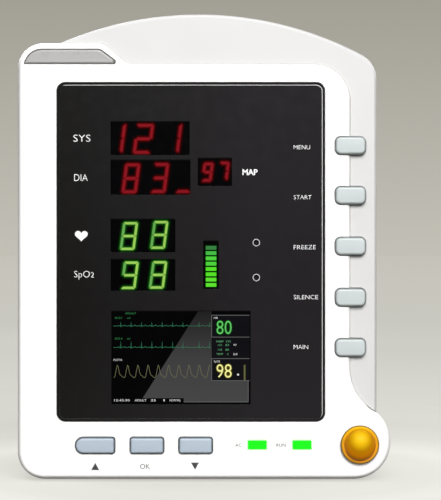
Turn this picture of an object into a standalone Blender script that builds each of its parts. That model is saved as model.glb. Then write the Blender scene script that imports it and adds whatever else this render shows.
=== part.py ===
"""Patient monitor: a bench-top vital-signs monitor, modelled as it comes apart on a bench.

Metres, +Z up. +X is to the right of someone facing the screen and the front faces -Y.
The origin is under the middle of the object, on the surface that it stands on.
"""

import math

import bmesh
import bpy
from mathutils import Matrix, Vector

MM = 0.001
GAP = 0.3  # clearance between neighbours, mm like every length below

# Driving dimensions of the front, mm
HALF_WIDTH = 99.3
HALF_DEPTH = 57.5
FRONT = -50.0  # plane of the bezel's face
BEZEL_DEPTH = 14.0
BEZEL_WALL = 2.5
BEZEL_BOTTOM = 0.8
BEZEL_TOP = 221.4
SHOULDER_TOP = 232.5
SHOULDER_RADIUS = 13.2
INNER_SHOULDER_RADIUS = 24.5  # of the hollow, so that the rear shell's dome covers it
BEZEL_RIGHT = 77.4
LOBE = (79.4, 20.7, 19.9)  # centre x, centre z, radius
WAIST_RADIUS = 27.0  # hollow arc between the lobe and the right edge
LENS_ARC = (-85.9, 219.5, 9.6)  # centre x, centre z and radius of the lamp lens's left end
LENS_SLANT = (-44.9, -55.2)  # x of its right end at the bottom and at the top
PANEL = (-78.3, 31.5, 64.2, 211.7)  # left, bottom, right, top
PANEL_CORNER = 4.8
RECESS = 4.9  # depth of the panel's ledge behind the face
LEDGE = 4.0

# Driving dimensions of the rear shell, mm
SHELL_FRONT = FRONT + 2.0
SHELL_LEFT = -97.8
SHELL_RIGHT = 91.9
SHELL_BOTTOM = 3.0
SHELL_TOP = 206.0
SHELL_BACK = 55.2
SHELL_WALL = 2.5
DOME = (-2.8, 62.3, 186.0)
GRIP_FRONT = -33.0  # front and back of the finger space and the grip bar
GRIP_BACK = -18.0
GRIP_POCKET = (-48.0, 207.0, 46.0, 228.0)

# Keys, lights and knob, mm
SIDE_KEYS = {
    "menu_key": 178.0,
    "start_key": 151.6,
    "freeze_key": 124.7,
    "silence_key": 97.6,
    "main_key": 71.0,
}
SIDE_KEY_X = 77.6
SIDE_KEY_SIZE = (16.3, 9.5)
BOTTOM_KEYS = {"up_key": (-57.8, 20.9), "ok_key": (-30.3, 17.9), "down_key": (-4.5, 17.9)}
BOTTOM_KEY_Z = 19.1
BOTTOM_KEY_HEIGHT = 8.7
KEY_PROUD = 2.0
KEY_TRAVEL = 0.8
LIGHTS = {"ac_light_pipe": 28.2, "run_light_pipe": 51.9}
LIGHT_Z = 19.4
LIGHT_SIZE = (9.9, 4.65)
KNOB = (82.5, 19.6)
KNOB_RADIUS = 10.25
KNOB_CROWN = -HALF_DEPTH

# Display windows in the panel: left, bottom, right, top, mm
DISPLAYS = {
    "sys_display": (-49.4, 173.2, -7.8, 190.9),
    "dia_display": (-49.4, 152.1, -7.4, 170.5),
    "map_display": (-3.2, 156.8, 14.6, 171.5),
    "pulse_display": (-49.4, 121.6, -15.4, 139.2),
    "spo2_display": (-49.3, 101.2, -15.4, 117.9),
    "level_bargraph": (-0.3, 102.2, 7.6, 127.6),
    "lcd_module": (-49.0, 41.0, 24.5, 90.4),
}
RINGS = ((27.7, 126.6), (27.7, 108.1))  # two round sensor windows in the panel
RING_RADIUS = 2.0

# Rear and side equipment, mm
SCREW_POSTS = ((-86.0, 16.0), (-86.0, 195.0), (69.0, 197.0), (69.0, 44.0))
POST_RADIUS = 5.5
SENSOR_TRAY = (-20.0, 38.0, 36.0, 152.0)  # y and z limits on the left side
REAR_TRAY = (-62.0, 16.0, 20.0, 64.0)  # x and z limits on the back
TRAY_DEPTH = 9.0
TRAY_FLOOR = 2.0
BATTERY_DOOR = (-8.0, 66.0, 44.0, 130.0)  # y and z limits on the right side
FOOT_RADIUS = 7.5
FEET = ((-74.0, -22.0), (68.0, -22.0), (-74.0, 42.0), (68.0, 42.0))
MOUNT_PLATE = (-43.0, 84.0, 37.0, 164.0)
MOUNT_HOLE = (30.0, 2.2)  # distance from the plate's middle across and up, and radius
SENSOR_RIM = 3.0  # between a tray's edge and its recess
REAR_RIM = 2.5
SOCKETS = {  # z, radius and bore
    "spo2_socket": (128.0, 9.5, 6.6),
    "cuff_socket": (94.0, 8.5, 4.6),
    "temperature_socket": (62.0, 7.0, 3.0),
}
MAINS_INLET = (-43.0, 46.5, 28.0, 20.0)  # centre x, centre z, width and height
MAINS_WELL = (-43.0, 46.5, 24.0, 16.0)
MAINS_PINS = ((-50.0, 44.5), (-43.0, 48.5), (-36.0, 44.5))
FUSE_DRAWER = (-43.0, 29.5, 24.0, 6.0)
DRAWER_LIP = (-43.0, 29.5, 26.0, 7.5)
NETWORK_PORT = (3.5, 31.0, 16.0, 13.0)
PORT_WELL = (3.5, 31.0, 12.0, 8.5)
GROUND_STUD = (3.5, 51.0)
STUD_RADIUS = 2.6
ROCKER = (-15.0, 42.0)  # x and z of the rocker's pivot
ROCKER_SIZE = (12.4, 18.4)
ROCKER_OPENING = (13.5, 20.0)
ROCKER_TILT = 9.0  # degrees
VENTS = (-3.0, 178.0, 84.0, 1.8)  # centre x, lowest z, width and height of a slot
VENT_ROWS = 6
VENT_PITCH = 4.0
SOUND_SLOTS = (62.0, 135.0, 28.0, 2.2)
SOUND_ROWS = 5
SOUND_PITCH = 6.0

# Equipment inside, mm: the two corners of each box
CHASSIS_PLATE = ((-78.0, -20.0, 30.0), (34.0, -18.8, 196.0))
PLATE_OPENINGS = ((-40.0, 60.0), (0.0, 110.0), (-40.0, 160.0))
MAIN_BOARD = ((-76.0, -26.0, 34.0), (32.0, -24.4, 192.0))
POWER_SUPPLY = ((-66.0, -14.0, 72.0), (-6.0, 34.0, 162.0))
BATTERY_PACK = ((42.0, -6.0, 68.0), (86.0, 42.0, 126.0))
ALARM_BOARD = ((-84.0, FRONT + 6.5, 218.0), (-57.0, FRONT + 8.1, 226.0))
# and the start, length and radius of each round one
AIR_PUMP = ((-72.0, 10.0, 182.0), 58.0, 13.5)
RELEASE_VALVE = ((-4.0, 10.0, 182.0), 22.0, 8.0)
SPEAKER = ((62.0, 40.0, 147.0), 12.0, 19.0)
TUBE_RADIUS = 2.4
TUBE_GUIDES = ((-81.8, 9.0, 94.0), (-71.0, 9.0, 94.0), (-71.0, 10.0, 120.0), (-71.0, 10.0, 168.1))


def clear_scene():
    for obj in list(bpy.data.objects):
        bpy.data.objects.remove(obj)


def new_collection(name):
    collection = bpy.data.collections.new(name)
    bpy.context.scene.collection.children.link(collection)
    return collection


clear_scene()
PARTS = new_collection("patient_monitor")
CUTTERS = new_collection("cutters")


# Outlines -------------------------------------------------------------------


def arc(centre, radius, start, end, step=9.0):
    """Points on a round stretch, from one angle to another in degrees."""
    count = max(2, math.ceil(abs(end - start) / step))
    angles = [math.radians(start + (end - start) * i / count) for i in range(count + 1)]
    return [(centre[0] + radius * math.cos(a), centre[1] + radius * math.sin(a)) for a in angles]


def rounded(corners, step=30):
    """A closed outline from (x, y, radius) corners, each one rounded by its own radius."""
    points = []
    for i, (x, y, radius) in enumerate(corners):
        here = Vector((x, y))
        if radius == 0:
            points.append((x, y))
            continue
        to_last = (Vector(corners[i - 1][:2]) - here).normalized()
        to_next = (Vector(corners[(i + 1) % len(corners)][:2]) - here).normalized()
        half = to_last.angle(to_next) / 2
        centre = here + (to_last + to_next).normalized() * radius / math.sin(half)
        first = here + to_last * radius / math.tan(half) - centre
        last = here + to_next * radius / math.tan(half) - centre
        start = math.degrees(math.atan2(first.y, first.x))
        turn = math.degrees(math.atan2(last.y, last.x)) - start
        turn = (turn + 180) % 360 - 180
        points += arc(centre, radius, start, start + turn, step)
    return points


def rectangle(left, bottom, right, top, radius=0.0, step=30):
    corners = ((left, bottom), (right, bottom), (right, top), (left, top))
    return rounded([(x, y, radius) for x, y in corners], step)


def centred(x, y, width, height, radius=0.0, step=30):
    half_width = width / 2
    half_height = height / 2
    return rectangle(x - half_width, y - half_height, x + half_width, y + half_height, radius, step)


def bezel_outline(grow=0.0, shoulder=SHOULDER_RADIUS):
    """The front frame, anticlockwise from its lower right lobe. grow moves every side outwards."""
    lobe_x, lobe_z, lobe_radius = LOBE
    waist_x = BEZEL_RIGHT + WAIST_RADIUS
    to_waist = math.degrees(math.atan2(waist_z() - lobe_z, waist_x - lobe_x))
    points = arc((lobe_x, lobe_z), lobe_radius + grow, -90, 0)
    points += arc((lobe_x, lobe_z), lobe_radius + grow, 0, to_waist)[1:]
    points += arc((waist_x, waist_z()), WAIST_RADIUS - grow, to_waist + 180, 180)[1:]
    right = BEZEL_RIGHT + grow
    top = BEZEL_TOP + grow
    left = -HALF_WIDTH - grow
    points += rounded(
        [
            (right, top, 19.5 + grow),
            (-40.5 + 0.37 * grow, top, 5.0 - grow),
            (-53.5 + 0.37 * grow, SHOULDER_TOP + grow, 5.0 + grow),
            (left, SHOULDER_TOP + grow, shoulder + grow),
            (left, BEZEL_BOTTOM - grow, 14.6 + grow),
            (lobe_x, BEZEL_BOTTOM - grow, 0),
        ],
        15,
    )[:-1]
    return points


def waist_z():
    """Height of the hollow arc's centre, which lies where that arc just touches the lobe."""
    reach = WAIST_RADIUS + LOBE[2]
    across = BEZEL_RIGHT + WAIST_RADIUS - LOBE[0]
    return LOBE[1] + math.sqrt(reach**2 - across**2)


def shell_outline(inset=0.0, bottom=SHELL_BOTTOM):
    """The rear shell behind the frame: straight sides and bottom under a shallow dome."""
    x, z, radius = DOME
    radius -= inset
    left = SHELL_LEFT + inset
    right = SHELL_RIGHT - inset
    corner = 14.8 - inset

    def corner_centre(across):
        return across, z + math.sqrt((radius - corner) ** 2 - (across - x) ** 2)

    right_centre = corner_centre(right - corner)
    left_centre = corner_centre(left + corner)
    right_angle = math.degrees(math.atan2(right_centre[1] - z, right_centre[0] - x))
    left_angle = math.degrees(math.atan2(left_centre[1] - z, left_centre[0] - x))
    points = arc(right_centre, corner, 0, right_angle, 15)
    points += arc((x, z), radius, right_angle, left_angle, 4.5)[1:]
    points += arc(left_centre, corner, left_angle, 180, 15)[1:]
    points += arc((left + 10, bottom + inset + 10), 10, 180, 270, 15)
    points += arc((right - 10, bottom + inset + 10), 10, 270, 360, 15)
    return points


def grip_outline():
    """The finger space inside the grip bar: straight sides under the dome's arc."""
    left, bottom, right, _ = GRIP_POCKET
    x, z, radius = DOME
    radius -= SHELL_WALL
    first = math.degrees(math.acos((right - x) / radius))
    last = math.degrees(math.acos((left - x) / radius))
    return [(left, bottom), (right, bottom)] + arc((x, z), radius, first, last, 4)


# Solids ---------------------------------------------------------------------

FRONTAL = Matrix(((1, 0, 0), (0, 0, -1), (0, 1, 0))).to_4x4()  # outline in x and z
SIDEWAYS = Matrix(((0, 0, 1), (1, 0, 0), (0, 1, 0))).to_4x4()  # outline in y and z


def mesh_object(name, mesh, collection=None):
    obj = bpy.data.objects.new(name, mesh)
    (collection or PARTS).objects.link(obj)
    if collection is CUTTERS:
        obj.hide_render = True
        obj.display_type = "WIRE"
    return obj


def prism(name, outline, low, high, facing=FRONTAL, holes=(), edge=0.0, collection=None):
    """An outline drawn as a flat curve and extruded from low to high along its own axis.

    edge rounds its rims over that radius, without making the outline larger.
    """
    curve = bpy.data.curves.new(name + "_outline", "CURVE")
    curve.dimensions = "2D"
    curve.fill_mode = "BOTH"
    for points in (outline, *holes):
        spline = curve.splines.new("POLY")
        spline.points.add(len(points) - 1)
        for point, (x, y) in zip(spline.points, points):
            point.co = (x * MM, y * MM, 0, 1)
        spline.use_cyclic_u = True
    curve.extrude = ((high - low) / 2 - edge) * MM
    if edge:
        curve.bevel_depth = edge * MM
        curve.bevel_resolution = 1
        curve.offset = -edge * MM
    drawn = bpy.data.objects.new(name + "_outline", curve)
    CUTTERS.objects.link(drawn)
    bpy.context.view_layer.update()
    graph = bpy.context.evaluated_depsgraph_get()
    mesh = bpy.data.meshes.new_from_object(drawn.evaluated_get(graph))
    bpy.data.objects.remove(drawn)
    mesh.name = name
    middle = (low + high) / 2 * MM
    along = facing @ Matrix.Translation((0, 0, -middle if facing is FRONTAL else middle))
    tidy(mesh, along)
    return mesh_object(name, mesh, collection)


def tidy(mesh, matrix):
    """Welds a mesh, turns its faces outwards and puts it in place."""
    bm = bmesh.new()
    bm.from_mesh(mesh)
    bmesh.ops.remove_doubles(bm, verts=bm.verts, dist=1e-6)
    bmesh.ops.transform(bm, matrix=matrix, verts=bm.verts)
    bmesh.ops.recalc_face_normals(bm, faces=bm.faces)
    bm.to_mesh(mesh)
    bm.free()
    mesh.materials.clear()


def box(name, low, high, collection=None):
    """A block between two corners, mm."""
    low = Vector(low) * MM
    high = Vector(high) * MM
    mesh = bpy.data.meshes.new(name)
    bm = bmesh.new()
    size = Matrix.Diagonal((*(high - low), 1))
    bmesh.ops.create_cube(bm, size=1, matrix=Matrix.Translation((low + high) / 2) @ size)
    bm.to_mesh(mesh)
    bm.free()
    return mesh_object(name, mesh, collection)


ALONG = {
    "X": Matrix.Rotation(math.pi / 2, 4, "Y"),
    "Y": Matrix.Rotation(-math.pi / 2, 4, "X"),
    "Z": Matrix.Identity(4),
}


def cone(name, start, length, radius, end_radius, axis, sides=24, collection=None):
    """A round piece from the middle of one end, running along +axis, mm."""
    mesh = bpy.data.meshes.new(name)
    bm = bmesh.new()
    place = Matrix.Translation(Vector(start) * MM) @ ALONG[axis]
    place = place @ Matrix.Translation((0, 0, length * MM / 2))
    bmesh.ops.create_cone(
        bm,
        cap_ends=True,
        segments=sides,
        radius1=radius * MM,
        radius2=end_radius * MM,
        depth=length * MM,
        matrix=place,
    )
    bm.to_mesh(mesh)
    bm.free()
    mesh.shade_smooth()
    mesh.set_sharp_from_angle(angle=math.radians(35))
    return mesh_object(name, mesh, collection)


def cylinder(name, start, length, radius, axis, sides=24, collection=None):
    return cone(name, start, length, radius, radius, axis, sides, collection)


def turned(name, profile, start, axis, sides=32):
    """A round piece turned from (radius, height) points, from its top down its outer side."""
    mesh = bpy.data.meshes.new(name)
    bm = bmesh.new()
    verts = [bm.verts.new((radius * MM, 0, height * MM)) for radius, height in profile]
    for first, second in zip(verts, verts[1:]):
        bm.edges.new((first, second))
    bm.to_mesh(mesh)
    bm.free()
    obj = mesh_object(name, mesh)
    obj.matrix_world = Matrix.Translation(Vector(start) * MM) @ ALONG[axis]
    screw = obj.modifiers.new("turn", "SCREW")
    screw.steps = sides
    screw.render_steps = sides
    screw.use_merge_vertices = True
    screw.merge_threshold = 0.00001
    screw.use_smooth_shade = True
    return obj


def boolean(obj, other, operation):
    modifier = obj.modifiers.new(other.name, "BOOLEAN")
    modifier.operation = operation
    modifier.solver = "EXACT"
    modifier.object = other


def cut(obj, *cutters):
    for cutter in cutters:
        boolean(obj, cutter, "DIFFERENCE")


def unite(obj, *others):
    for other in others:
        boolean(obj, other, "UNION")


def finish(obj, colour, roughness, metallic=0.0):
    """Gives a piece its own plain material."""
    material = bpy.data.materials.new(obj.name)
    material.use_nodes = True
    shader = material.node_tree.nodes["Principled BSDF"]
    shader.inputs["Base Color"].default_value = (*colour, 1)
    shader.inputs["Roughness"].default_value = roughness
    shader.inputs["Metallic"].default_value = metallic
    obj.data.materials.clear()
    obj.data.materials.append(material)


def put_origin(obj, point):
    """Moves an object's origin to a point, mm, and leaves its mesh where it is."""
    offset = Vector(point) * MM
    obj.data.transform(Matrix.Translation(-offset))
    obj.location = offset


WHITE = (0.93, 0.93, 0.91)
LIGHT_GREY = (0.82, 0.82, 0.81)
KEY_GREY = (0.70, 0.72, 0.73)
KEY_BLUE = (0.50, 0.59, 0.68)
BLACK = (0.012, 0.012, 0.014)
RUBBER = (0.03, 0.03, 0.03)
BOARD_GREEN = (0.02, 0.16, 0.07)
STEEL = (0.55, 0.56, 0.57)
BRASS = (0.66, 0.48, 0.20)
GREEN = (0.05, 0.85, 0.08)
ORANGE = (0.85, 0.45, 0.02)
SILICONE = (0.60, 0.60, 0.58)


# Front frame ----------------------------------------------------------------


def key_hole(name, x, z, width, height, radius, low, high):
    return prism(
        name,
        centred(x, z, width + 2 * GAP, height + 2 * GAP, radius + GAP),
        low,
        high,
        collection=CUTTERS,
    )


def side_key_holes():
    width, height = SIDE_KEY_SIZE
    return [
        key_hole(name + "_hole", SIDE_KEY_X, z, width, height, 3.0, FRONT - 1, FRONT + 6)
        for name, z in SIDE_KEYS.items()
    ]


def lens_outline(grow=0.0):
    """The lamp lens: a round left end, which follows the shoulder, and a slanted right end."""
    x, z, radius = LENS_ARC
    tip, corner = LENS_SLANT
    radius += grow
    bottom = BEZEL_TOP - grow
    end = 180 - math.degrees(math.asin((bottom - z) / radius))
    left = arc((x, z), radius, 90, end)
    right = rounded(
        [
            (*left[-1], 0),
            (tip + 3 * grow, bottom, 1.2),
            (corner + 0.33 * grow, z + radius, 3.0),
            (*left[0], 0),
        ]
    )
    return right + left[1:-1]


def make_bezel(side_holes):
    bezel = prism("front_bezel", bezel_outline(), FRONT, FRONT + BEZEL_DEPTH, edge=1.6)
    left, bottom, right, top = PANEL
    inner = bezel_outline(-BEZEL_WALL, INNER_SHOULDER_RADIUS)
    skirt = rectangle(left - 2, bottom - 2, right + 2, top + 2, PANEL_CORNER + 2)
    back = FRONT + BEZEL_DEPTH + 1
    ledge_back = FRONT + RECESS + 1.6
    cut(
        bezel,
        prism("bezel_hollow", inner, ledge_back, back, collection=CUTTERS),
        prism(
            "bezel_front_hollow",
            inner,
            FRONT + BEZEL_WALL,
            ledge_back + 0.5,
            holes=[skirt],
            collection=CUTTERS,
        ),
        prism(
            "panel_recess",
            rectangle(*PANEL, PANEL_CORNER),
            FRONT - 1,
            FRONT + RECESS,
            collection=CUTTERS,
        ),
        prism(
            "panel_opening",
            rectangle(left + LEDGE, bottom + LEDGE, right - LEDGE, top - LEDGE, 1.5),
            FRONT,
            back,
            collection=CUTTERS,
        ),
        prism("lens_slot", lens_outline(GAP), FRONT - 1, FRONT + 5, collection=CUTTERS),
        box(
            "side_board_notch",
            (BEZEL_RIGHT - 6, FRONT + 3.4, 61.3),
            (BEZEL_RIGHT + 2, back, 188.2),
            CUTTERS,
        ),
        cylinder("knob_hole", (KNOB[0], FRONT - 1, KNOB[1]), 6, 4.2, "Y", 32, CUTTERS),
        *side_holes,
    )
    for name, (x, width) in BOTTOM_KEYS.items():
        hole = key_hole(
            name + "_hole", x, BOTTOM_KEY_Z, width, BOTTOM_KEY_HEIGHT, 1.6, FRONT - 1, FRONT + 5
        )
        cut(bezel, hole)
    for name, x in LIGHTS.items():
        cut(bezel, key_hole(name + "_hole", x, LIGHT_Z, *LIGHT_SIZE, 0.4, FRONT - 1, FRONT + 5))
    for i, (x, z) in enumerate(SCREW_POSTS):
        post = cylinder(
            f"bezel_post_{i}", (x, FRONT + 2, z), BEZEL_DEPTH - 2, 4, "Y", 16, CUTTERS
        )
        unite(bezel, post)
        bore = cylinder(f"bezel_bore_{i}", (x, FRONT + 5, z), BEZEL_DEPTH, 2.0, "Y", 16, CUTTERS)
        cut(bezel, bore)
    finish(bezel, WHITE, 0.35)


# Rear shell -----------------------------------------------------------------


def cut_slots(shell, name, x, lowest_z, width, height, rows, pitch, step):
    """Rows of slots with round ends through the back wall."""
    for row in range(rows):
        slot = centred(x, lowest_z + row * pitch, width, height, height / 2, step)
        cut(
            shell,
            prism(f"{name}_{row}", slot, SHELL_BACK - 4, SHELL_BACK + 1, collection=CUTTERS),
        )


def make_shell(side_holes):
    back_of_bezel = FRONT + BEZEL_DEPTH
    shell = prism("rear_housing", shell_outline(), SHELL_FRONT, GRIP_BACK, edge=1.6)
    body = prism(
        "shell_body",
        rectangle(SHELL_LEFT + 0.2, SHELL_BOTTOM, SHELL_RIGHT - 0.2, SHELL_TOP, 9.8, 15),
        back_of_bezel + 6,
        SHELL_BACK,
        edge=6,
        collection=CUTTERS,
    )
    lobe = cone(
        "lobe_fairing",
        (LOBE[0], back_of_bezel + GAP, LOBE[1]),
        30,
        LOBE[2] - 1.5,
        SHELL_RIGHT - LOBE[0] - 0.4,
        "Y",
        32,
        CUTTERS,
    )
    inner = (
        SHELL_LEFT + SHELL_WALL,
        SHELL_BOTTOM + SHELL_WALL,
        SHELL_RIGHT - SHELL_WALL,
        SHELL_TOP - SHELL_WALL,
    )
    left, bottom, right, top = GRIP_POCKET
    unite(shell, body, lobe)
    cut(
        shell,
        prism(
            "bezel_seat",
            bezel_outline(GAP),
            SHELL_FRONT - 3,
            back_of_bezel + GAP,
            collection=CUTTERS,
        ),
        prism(
            "shell_hollow",
            rectangle(*inner, 8, 15),
            back_of_bezel - 1,
            SHELL_BACK - SHELL_WALL,
            collection=CUTTERS,
        ),
        prism(
            "strip_hollow",
            rectangle(SIDE_KEY_X - 12, 34, SHELL_RIGHT - SHELL_WALL, SHELL_TOP - 3, 4),
            SHELL_FRONT + SHELL_WALL,
            back_of_bezel + 2,
            collection=CUTTERS,
        ),
        prism(
            "grip_hollow",
            grip_outline(),
            GRIP_FRONT,
            GRIP_BACK - SHELL_WALL,
            collection=CUTTERS,
        ),
        prism(
            "dome_hollow",
            shell_outline(SHELL_WALL, 190),
            SHELL_FRONT + SHELL_WALL,
            back_of_bezel + GAP,
            collection=CUTTERS,
        ),
        prism(
            "grip_pocket",
            rectangle(left + 0.5, bottom + 0.5, right - 0.5, top, 6),
            GRIP_BACK - SHELL_WALL - 1,
            GRIP_BACK + 2,
            collection=CUTTERS,
        ),
        *side_holes,
    )
    posts = []
    for i, (x, z) in enumerate(SCREW_POSTS):
        posts.append(
            cylinder(
                f"shell_post_{i}",
                (x, back_of_bezel + GAP, z),
                SHELL_BACK - 1 - back_of_bezel,
                POST_RADIUS,
                "Y",
                20,
                CUTTERS,
            )
        )
    unite(shell, *posts)
    for i, (x, z) in enumerate(SCREW_POSTS):
        cut(
            shell,
            cylinder(f"shell_well_{i}", (x, -32, z), 100, 3.9, "Y", 20, CUTTERS),
            cylinder(f"shell_bore_{i}", (x, -40, z), 20, 2.0, "Y", 16, CUTTERS),
        )
    y_low, z_low, y_high, z_high = SENSOR_TRAY
    x_low, floor_low, x_high, floor_high = REAR_TRAY
    door_low, door_bottom, door_high, door_top = BATTERY_DOOR
    cut(
        shell,
        prism(
            "sensor_opening",
            rectangle(y_low, z_low, y_high, z_high, 5),
            SHELL_LEFT - 1,
            SHELL_LEFT + 5,
            SIDEWAYS,
            collection=CUTTERS,
        ),
        prism(
            "rear_opening",
            rectangle(x_low, floor_low, x_high, floor_high, 4),
            SHELL_BACK - 5,
            SHELL_BACK + 1,
            collection=CUTTERS,
        ),
        prism(
            "battery_opening",
            rectangle(door_low, door_bottom, door_high, door_top, 0.4),
            SHELL_RIGHT - 5,
            SHELL_RIGHT + 1,
            SIDEWAYS,
            collection=CUTTERS,
        ),
    )
    cut_slots(shell, "vent", *VENTS, VENT_ROWS, VENT_PITCH, 90)
    cut_slots(shell, "sound_slot", *SOUND_SLOTS, SOUND_ROWS, SOUND_PITCH, 60)
    for i, (x, y) in enumerate(FEET):
        seat = cylinder(
            f"foot_seat_{i}", (x, y, SHELL_BOTTOM - 2), 3, FOOT_RADIUS + GAP, "Z", 24, CUTTERS
        )
        cut(shell, seat)
    finish(shell, LIGHT_GREY, 0.4)


# Panel and displays ---------------------------------------------------------


def make_panel():
    left, bottom, right, top = PANEL
    openings = [
        rectangle(low_x - GAP, low_z - GAP, high_x + GAP, high_z + GAP)
        for low_x, low_z, high_x, high_z in DISPLAYS.values()
    ]
    openings += [arc(centre, RING_RADIUS, 0, 330, 30) for centre in RINGS]
    window = prism(
        "display_window",
        rectangle(left + GAP, bottom + GAP, right - GAP, top - GAP, PANEL_CORNER - GAP),
        FRONT + 0.5,
        FRONT + 3.5,
        holes=openings,
    )
    finish(window, BLACK, 0.08)
    gasket = prism(
        "window_gasket",
        rectangle(left + 0.6, bottom + 0.6, right - 0.6, top - 0.6, PANEL_CORNER - 0.6),
        FRONT + 3.8,
        FRONT + 4.6,
        holes=[rectangle(left + LEDGE, bottom + LEDGE, right - LEDGE, top - LEDGE, 1.5)],
    )
    finish(gasket, RUBBER, 0.9)
    board = box(
        "display_board", (left + 2, FRONT + 10, bottom + 3), (right - 2.2, FRONT + 11.6, top - 3)
    )
    finish(board, BOARD_GREEN, 0.5)
    for name, (low_x, low_z, high_x, high_z) in DISPLAYS.items():
        module = box(name, (low_x, FRONT + 0.8, low_z), (high_x, FRONT + 9.7, high_z))
        finish(module, BLACK, 0.2)


def make_lens():
    lens = prism("alarm_lens", lens_outline(), FRONT - 0.4, FRONT + 2.6, edge=0.6)
    finish(lens, (0.50, 0.50, 0.49), 0.25)
    board = box("alarm_board", *ALARM_BOARD)
    finish(board, BOARD_GREEN, 0.5)


def make_lights():
    for name, x in LIGHTS.items():
        outline = centred(x, LIGHT_Z, *LIGHT_SIZE, 0.4)
        pipe = prism(name, outline, FRONT - 0.3, FRONT + 6.2, edge=0.3)
        finish(pipe, GREEN, 0.2)


# Keys and knob --------------------------------------------------------------


def make_key(name, x, z, width, height, radius, flange_front, colour):
    """A cap on a wider flange, which keeps it behind the wall."""
    cap = prism(
        name,
        centred(0, 0, width, height, radius),
        FRONT - KEY_PROUD,
        flange_front + 0.4,
        edge=0.7,
    )
    flange = prism(
        name + "_flange",
        centred(0, 0, width + 2, height + 2, radius + 1),
        flange_front,
        flange_front + 0.8,
        collection=CUTTERS,
    )
    unite(cap, flange)
    for obj in (cap, flange):
        obj.location = (x * MM, 0, z * MM)
    finish(cap, colour, 0.35)


def make_switches(name, low, high, front, domes):
    """A rubber mat with one dome under each key, and the circuit board behind it."""
    mat = box(name + "_mat", (low[0], front + 0.5, low[1]), (high[0], front + 1.6, high[1]))
    for i, (x, z) in enumerate(domes):
        dome = cone(f"{name}_dome_{i}", (x, front, z), 0.9, 2.0, 3.0, "Y", 12, CUTTERS)
        unite(mat, dome)
    finish(mat, SILICONE, 0.8)
    board = box(name + "_board", (low[0], front + 1.9, low[1]), (high[0], front + 3.5, high[1]))
    finish(board, BOARD_GREEN, 0.5)


def make_keys():
    for name, z in SIDE_KEYS.items():
        make_key(name, SIDE_KEY_X, z, *SIDE_KEY_SIZE, 3.0, FRONT + 4.8, KEY_GREY)
    for name, (x, width) in BOTTOM_KEYS.items():
        make_key(name, x, BOTTOM_KEY_Z, width, BOTTOM_KEY_HEIGHT, 1.6, FRONT + 2.8, KEY_BLUE)
    side_front = FRONT + 5.6 + KEY_TRAVEL + GAP
    make_switches(
        "side_key",
        (68.6, 62),
        (87.3, 187),
        side_front,
        [(SIDE_KEY_X, z) for z in SIDE_KEYS.values()],
    )
    bottom_front = FRONT + 3.6 + KEY_TRAVEL + GAP
    make_switches(
        "bottom_key",
        (-72, 11),
        (9, 28),
        bottom_front,
        [(x, BOTTOM_KEY_Z) for x, _ in BOTTOM_KEYS.values()],
    )


def make_knob():
    """A dome knob on a steel shaft. Its encoder also works as a push switch."""
    x, z = KNOB
    skirt = FRONT - 1.3  # leaves room for the push
    crown = skirt - KNOB_CROWN
    profile = [(0, crown)]
    for angle in range(75, -1, -15):
        a = math.radians(angle)
        profile.append(((KNOB_RADIUS - 1.2) * math.cos(a), 1.2 + (crown - 1.2) * math.sin(a)))
    profile += [(KNOB_RADIUS - 0.4, 1.1), (KNOB_RADIUS, 0.6), (KNOB_RADIUS, 0)]
    profile += [(3.6, 0), (3.6, -2.0), (2.4, -2.0), (2.4, 1.5), (0, 1.5)]
    knob = turned("nav_knob", profile, (x, skirt, z), "Y", 28)
    knob.matrix_world = knob.matrix_world @ Matrix.Rotation(math.pi, 4, "X")
    finish(knob, ORANGE, 0.2)
    start = skirt - 1.2
    shaft = cylinder("encoder_shaft", (x, start, z), 9.2, 2.0, "Y", 20)
    put_origin(shaft, (x, start, z))
    finish(shaft, STEEL, 0.3, 1.0)
    plunger = cylinder("encoder_plunger", (x, start + 9.5, z), 3.2, 2.6, "Y", 20)
    put_origin(plunger, (x, start + 9.5, z))
    finish(plunger, KEY_GREY, 0.5)
    body = box("encoder_body", (x - 6.5, FRONT + 5.4, z - 6.5), (x + 6.5, FRONT + 13.2, z + 6.5))
    bore = cylinder("encoder_bore", (x, FRONT + 4, z), 8.2, 3.0, "Y", 20, CUTTERS)
    cut(body, bore)
    finish(body, STEEL, 0.4, 1.0)


# Internal equipment ---------------------------------------------------------


def make_internals():
    plate = box("chassis_plate", *CHASSIS_PLATE)
    for i, (x, z) in enumerate(PLATE_OPENINGS):
        opening = cylinder(f"plate_opening_{i}", (x, -24, z), 10, 8, "Y", 20, CUTTERS)
        cut(plate, opening)
    finish(plate, STEEL, 0.4, 1.0)
    finish(box("main_board", *MAIN_BOARD), BOARD_GREEN, 0.5)
    finish(box("power_supply", *POWER_SUPPLY), STEEL, 0.5, 1.0)
    finish(box("battery_pack", *BATTERY_PACK), (0.05, 0.10, 0.35), 0.5)
    finish(cylinder("air_pump", *AIR_PUMP, "X", 28), STEEL, 0.35, 1.0)
    finish(cylinder("release_valve", *RELEASE_VALVE, "X", 24), BRASS, 0.4, 1.0)
    finish(cylinder("speaker", *SPEAKER, "Y", 32), BLACK, 0.6)


def make_tube():
    """The pressure hose from the cuff socket up to the pump's level."""
    curve = bpy.data.curves.new("pressure_tube", "CURVE")
    curve.dimensions = "3D"
    curve.bevel_depth = TUBE_RADIUS * MM
    curve.bevel_resolution = 2
    curve.use_fill_caps = True
    route = [Vector(point) for point in TUBE_GUIDES]
    spline = curve.splines.new("POLY")
    steps = 12
    spline.points.add(steps)
    for i, point in enumerate(spline.points):
        t = i / steps
        point.co = (*(bezier(route, t) * MM), 1)
    tube = bpy.data.objects.new("pressure_tube", curve)
    PARTS.objects.link(tube)
    finish(tube, RUBBER, 0.7)


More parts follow.
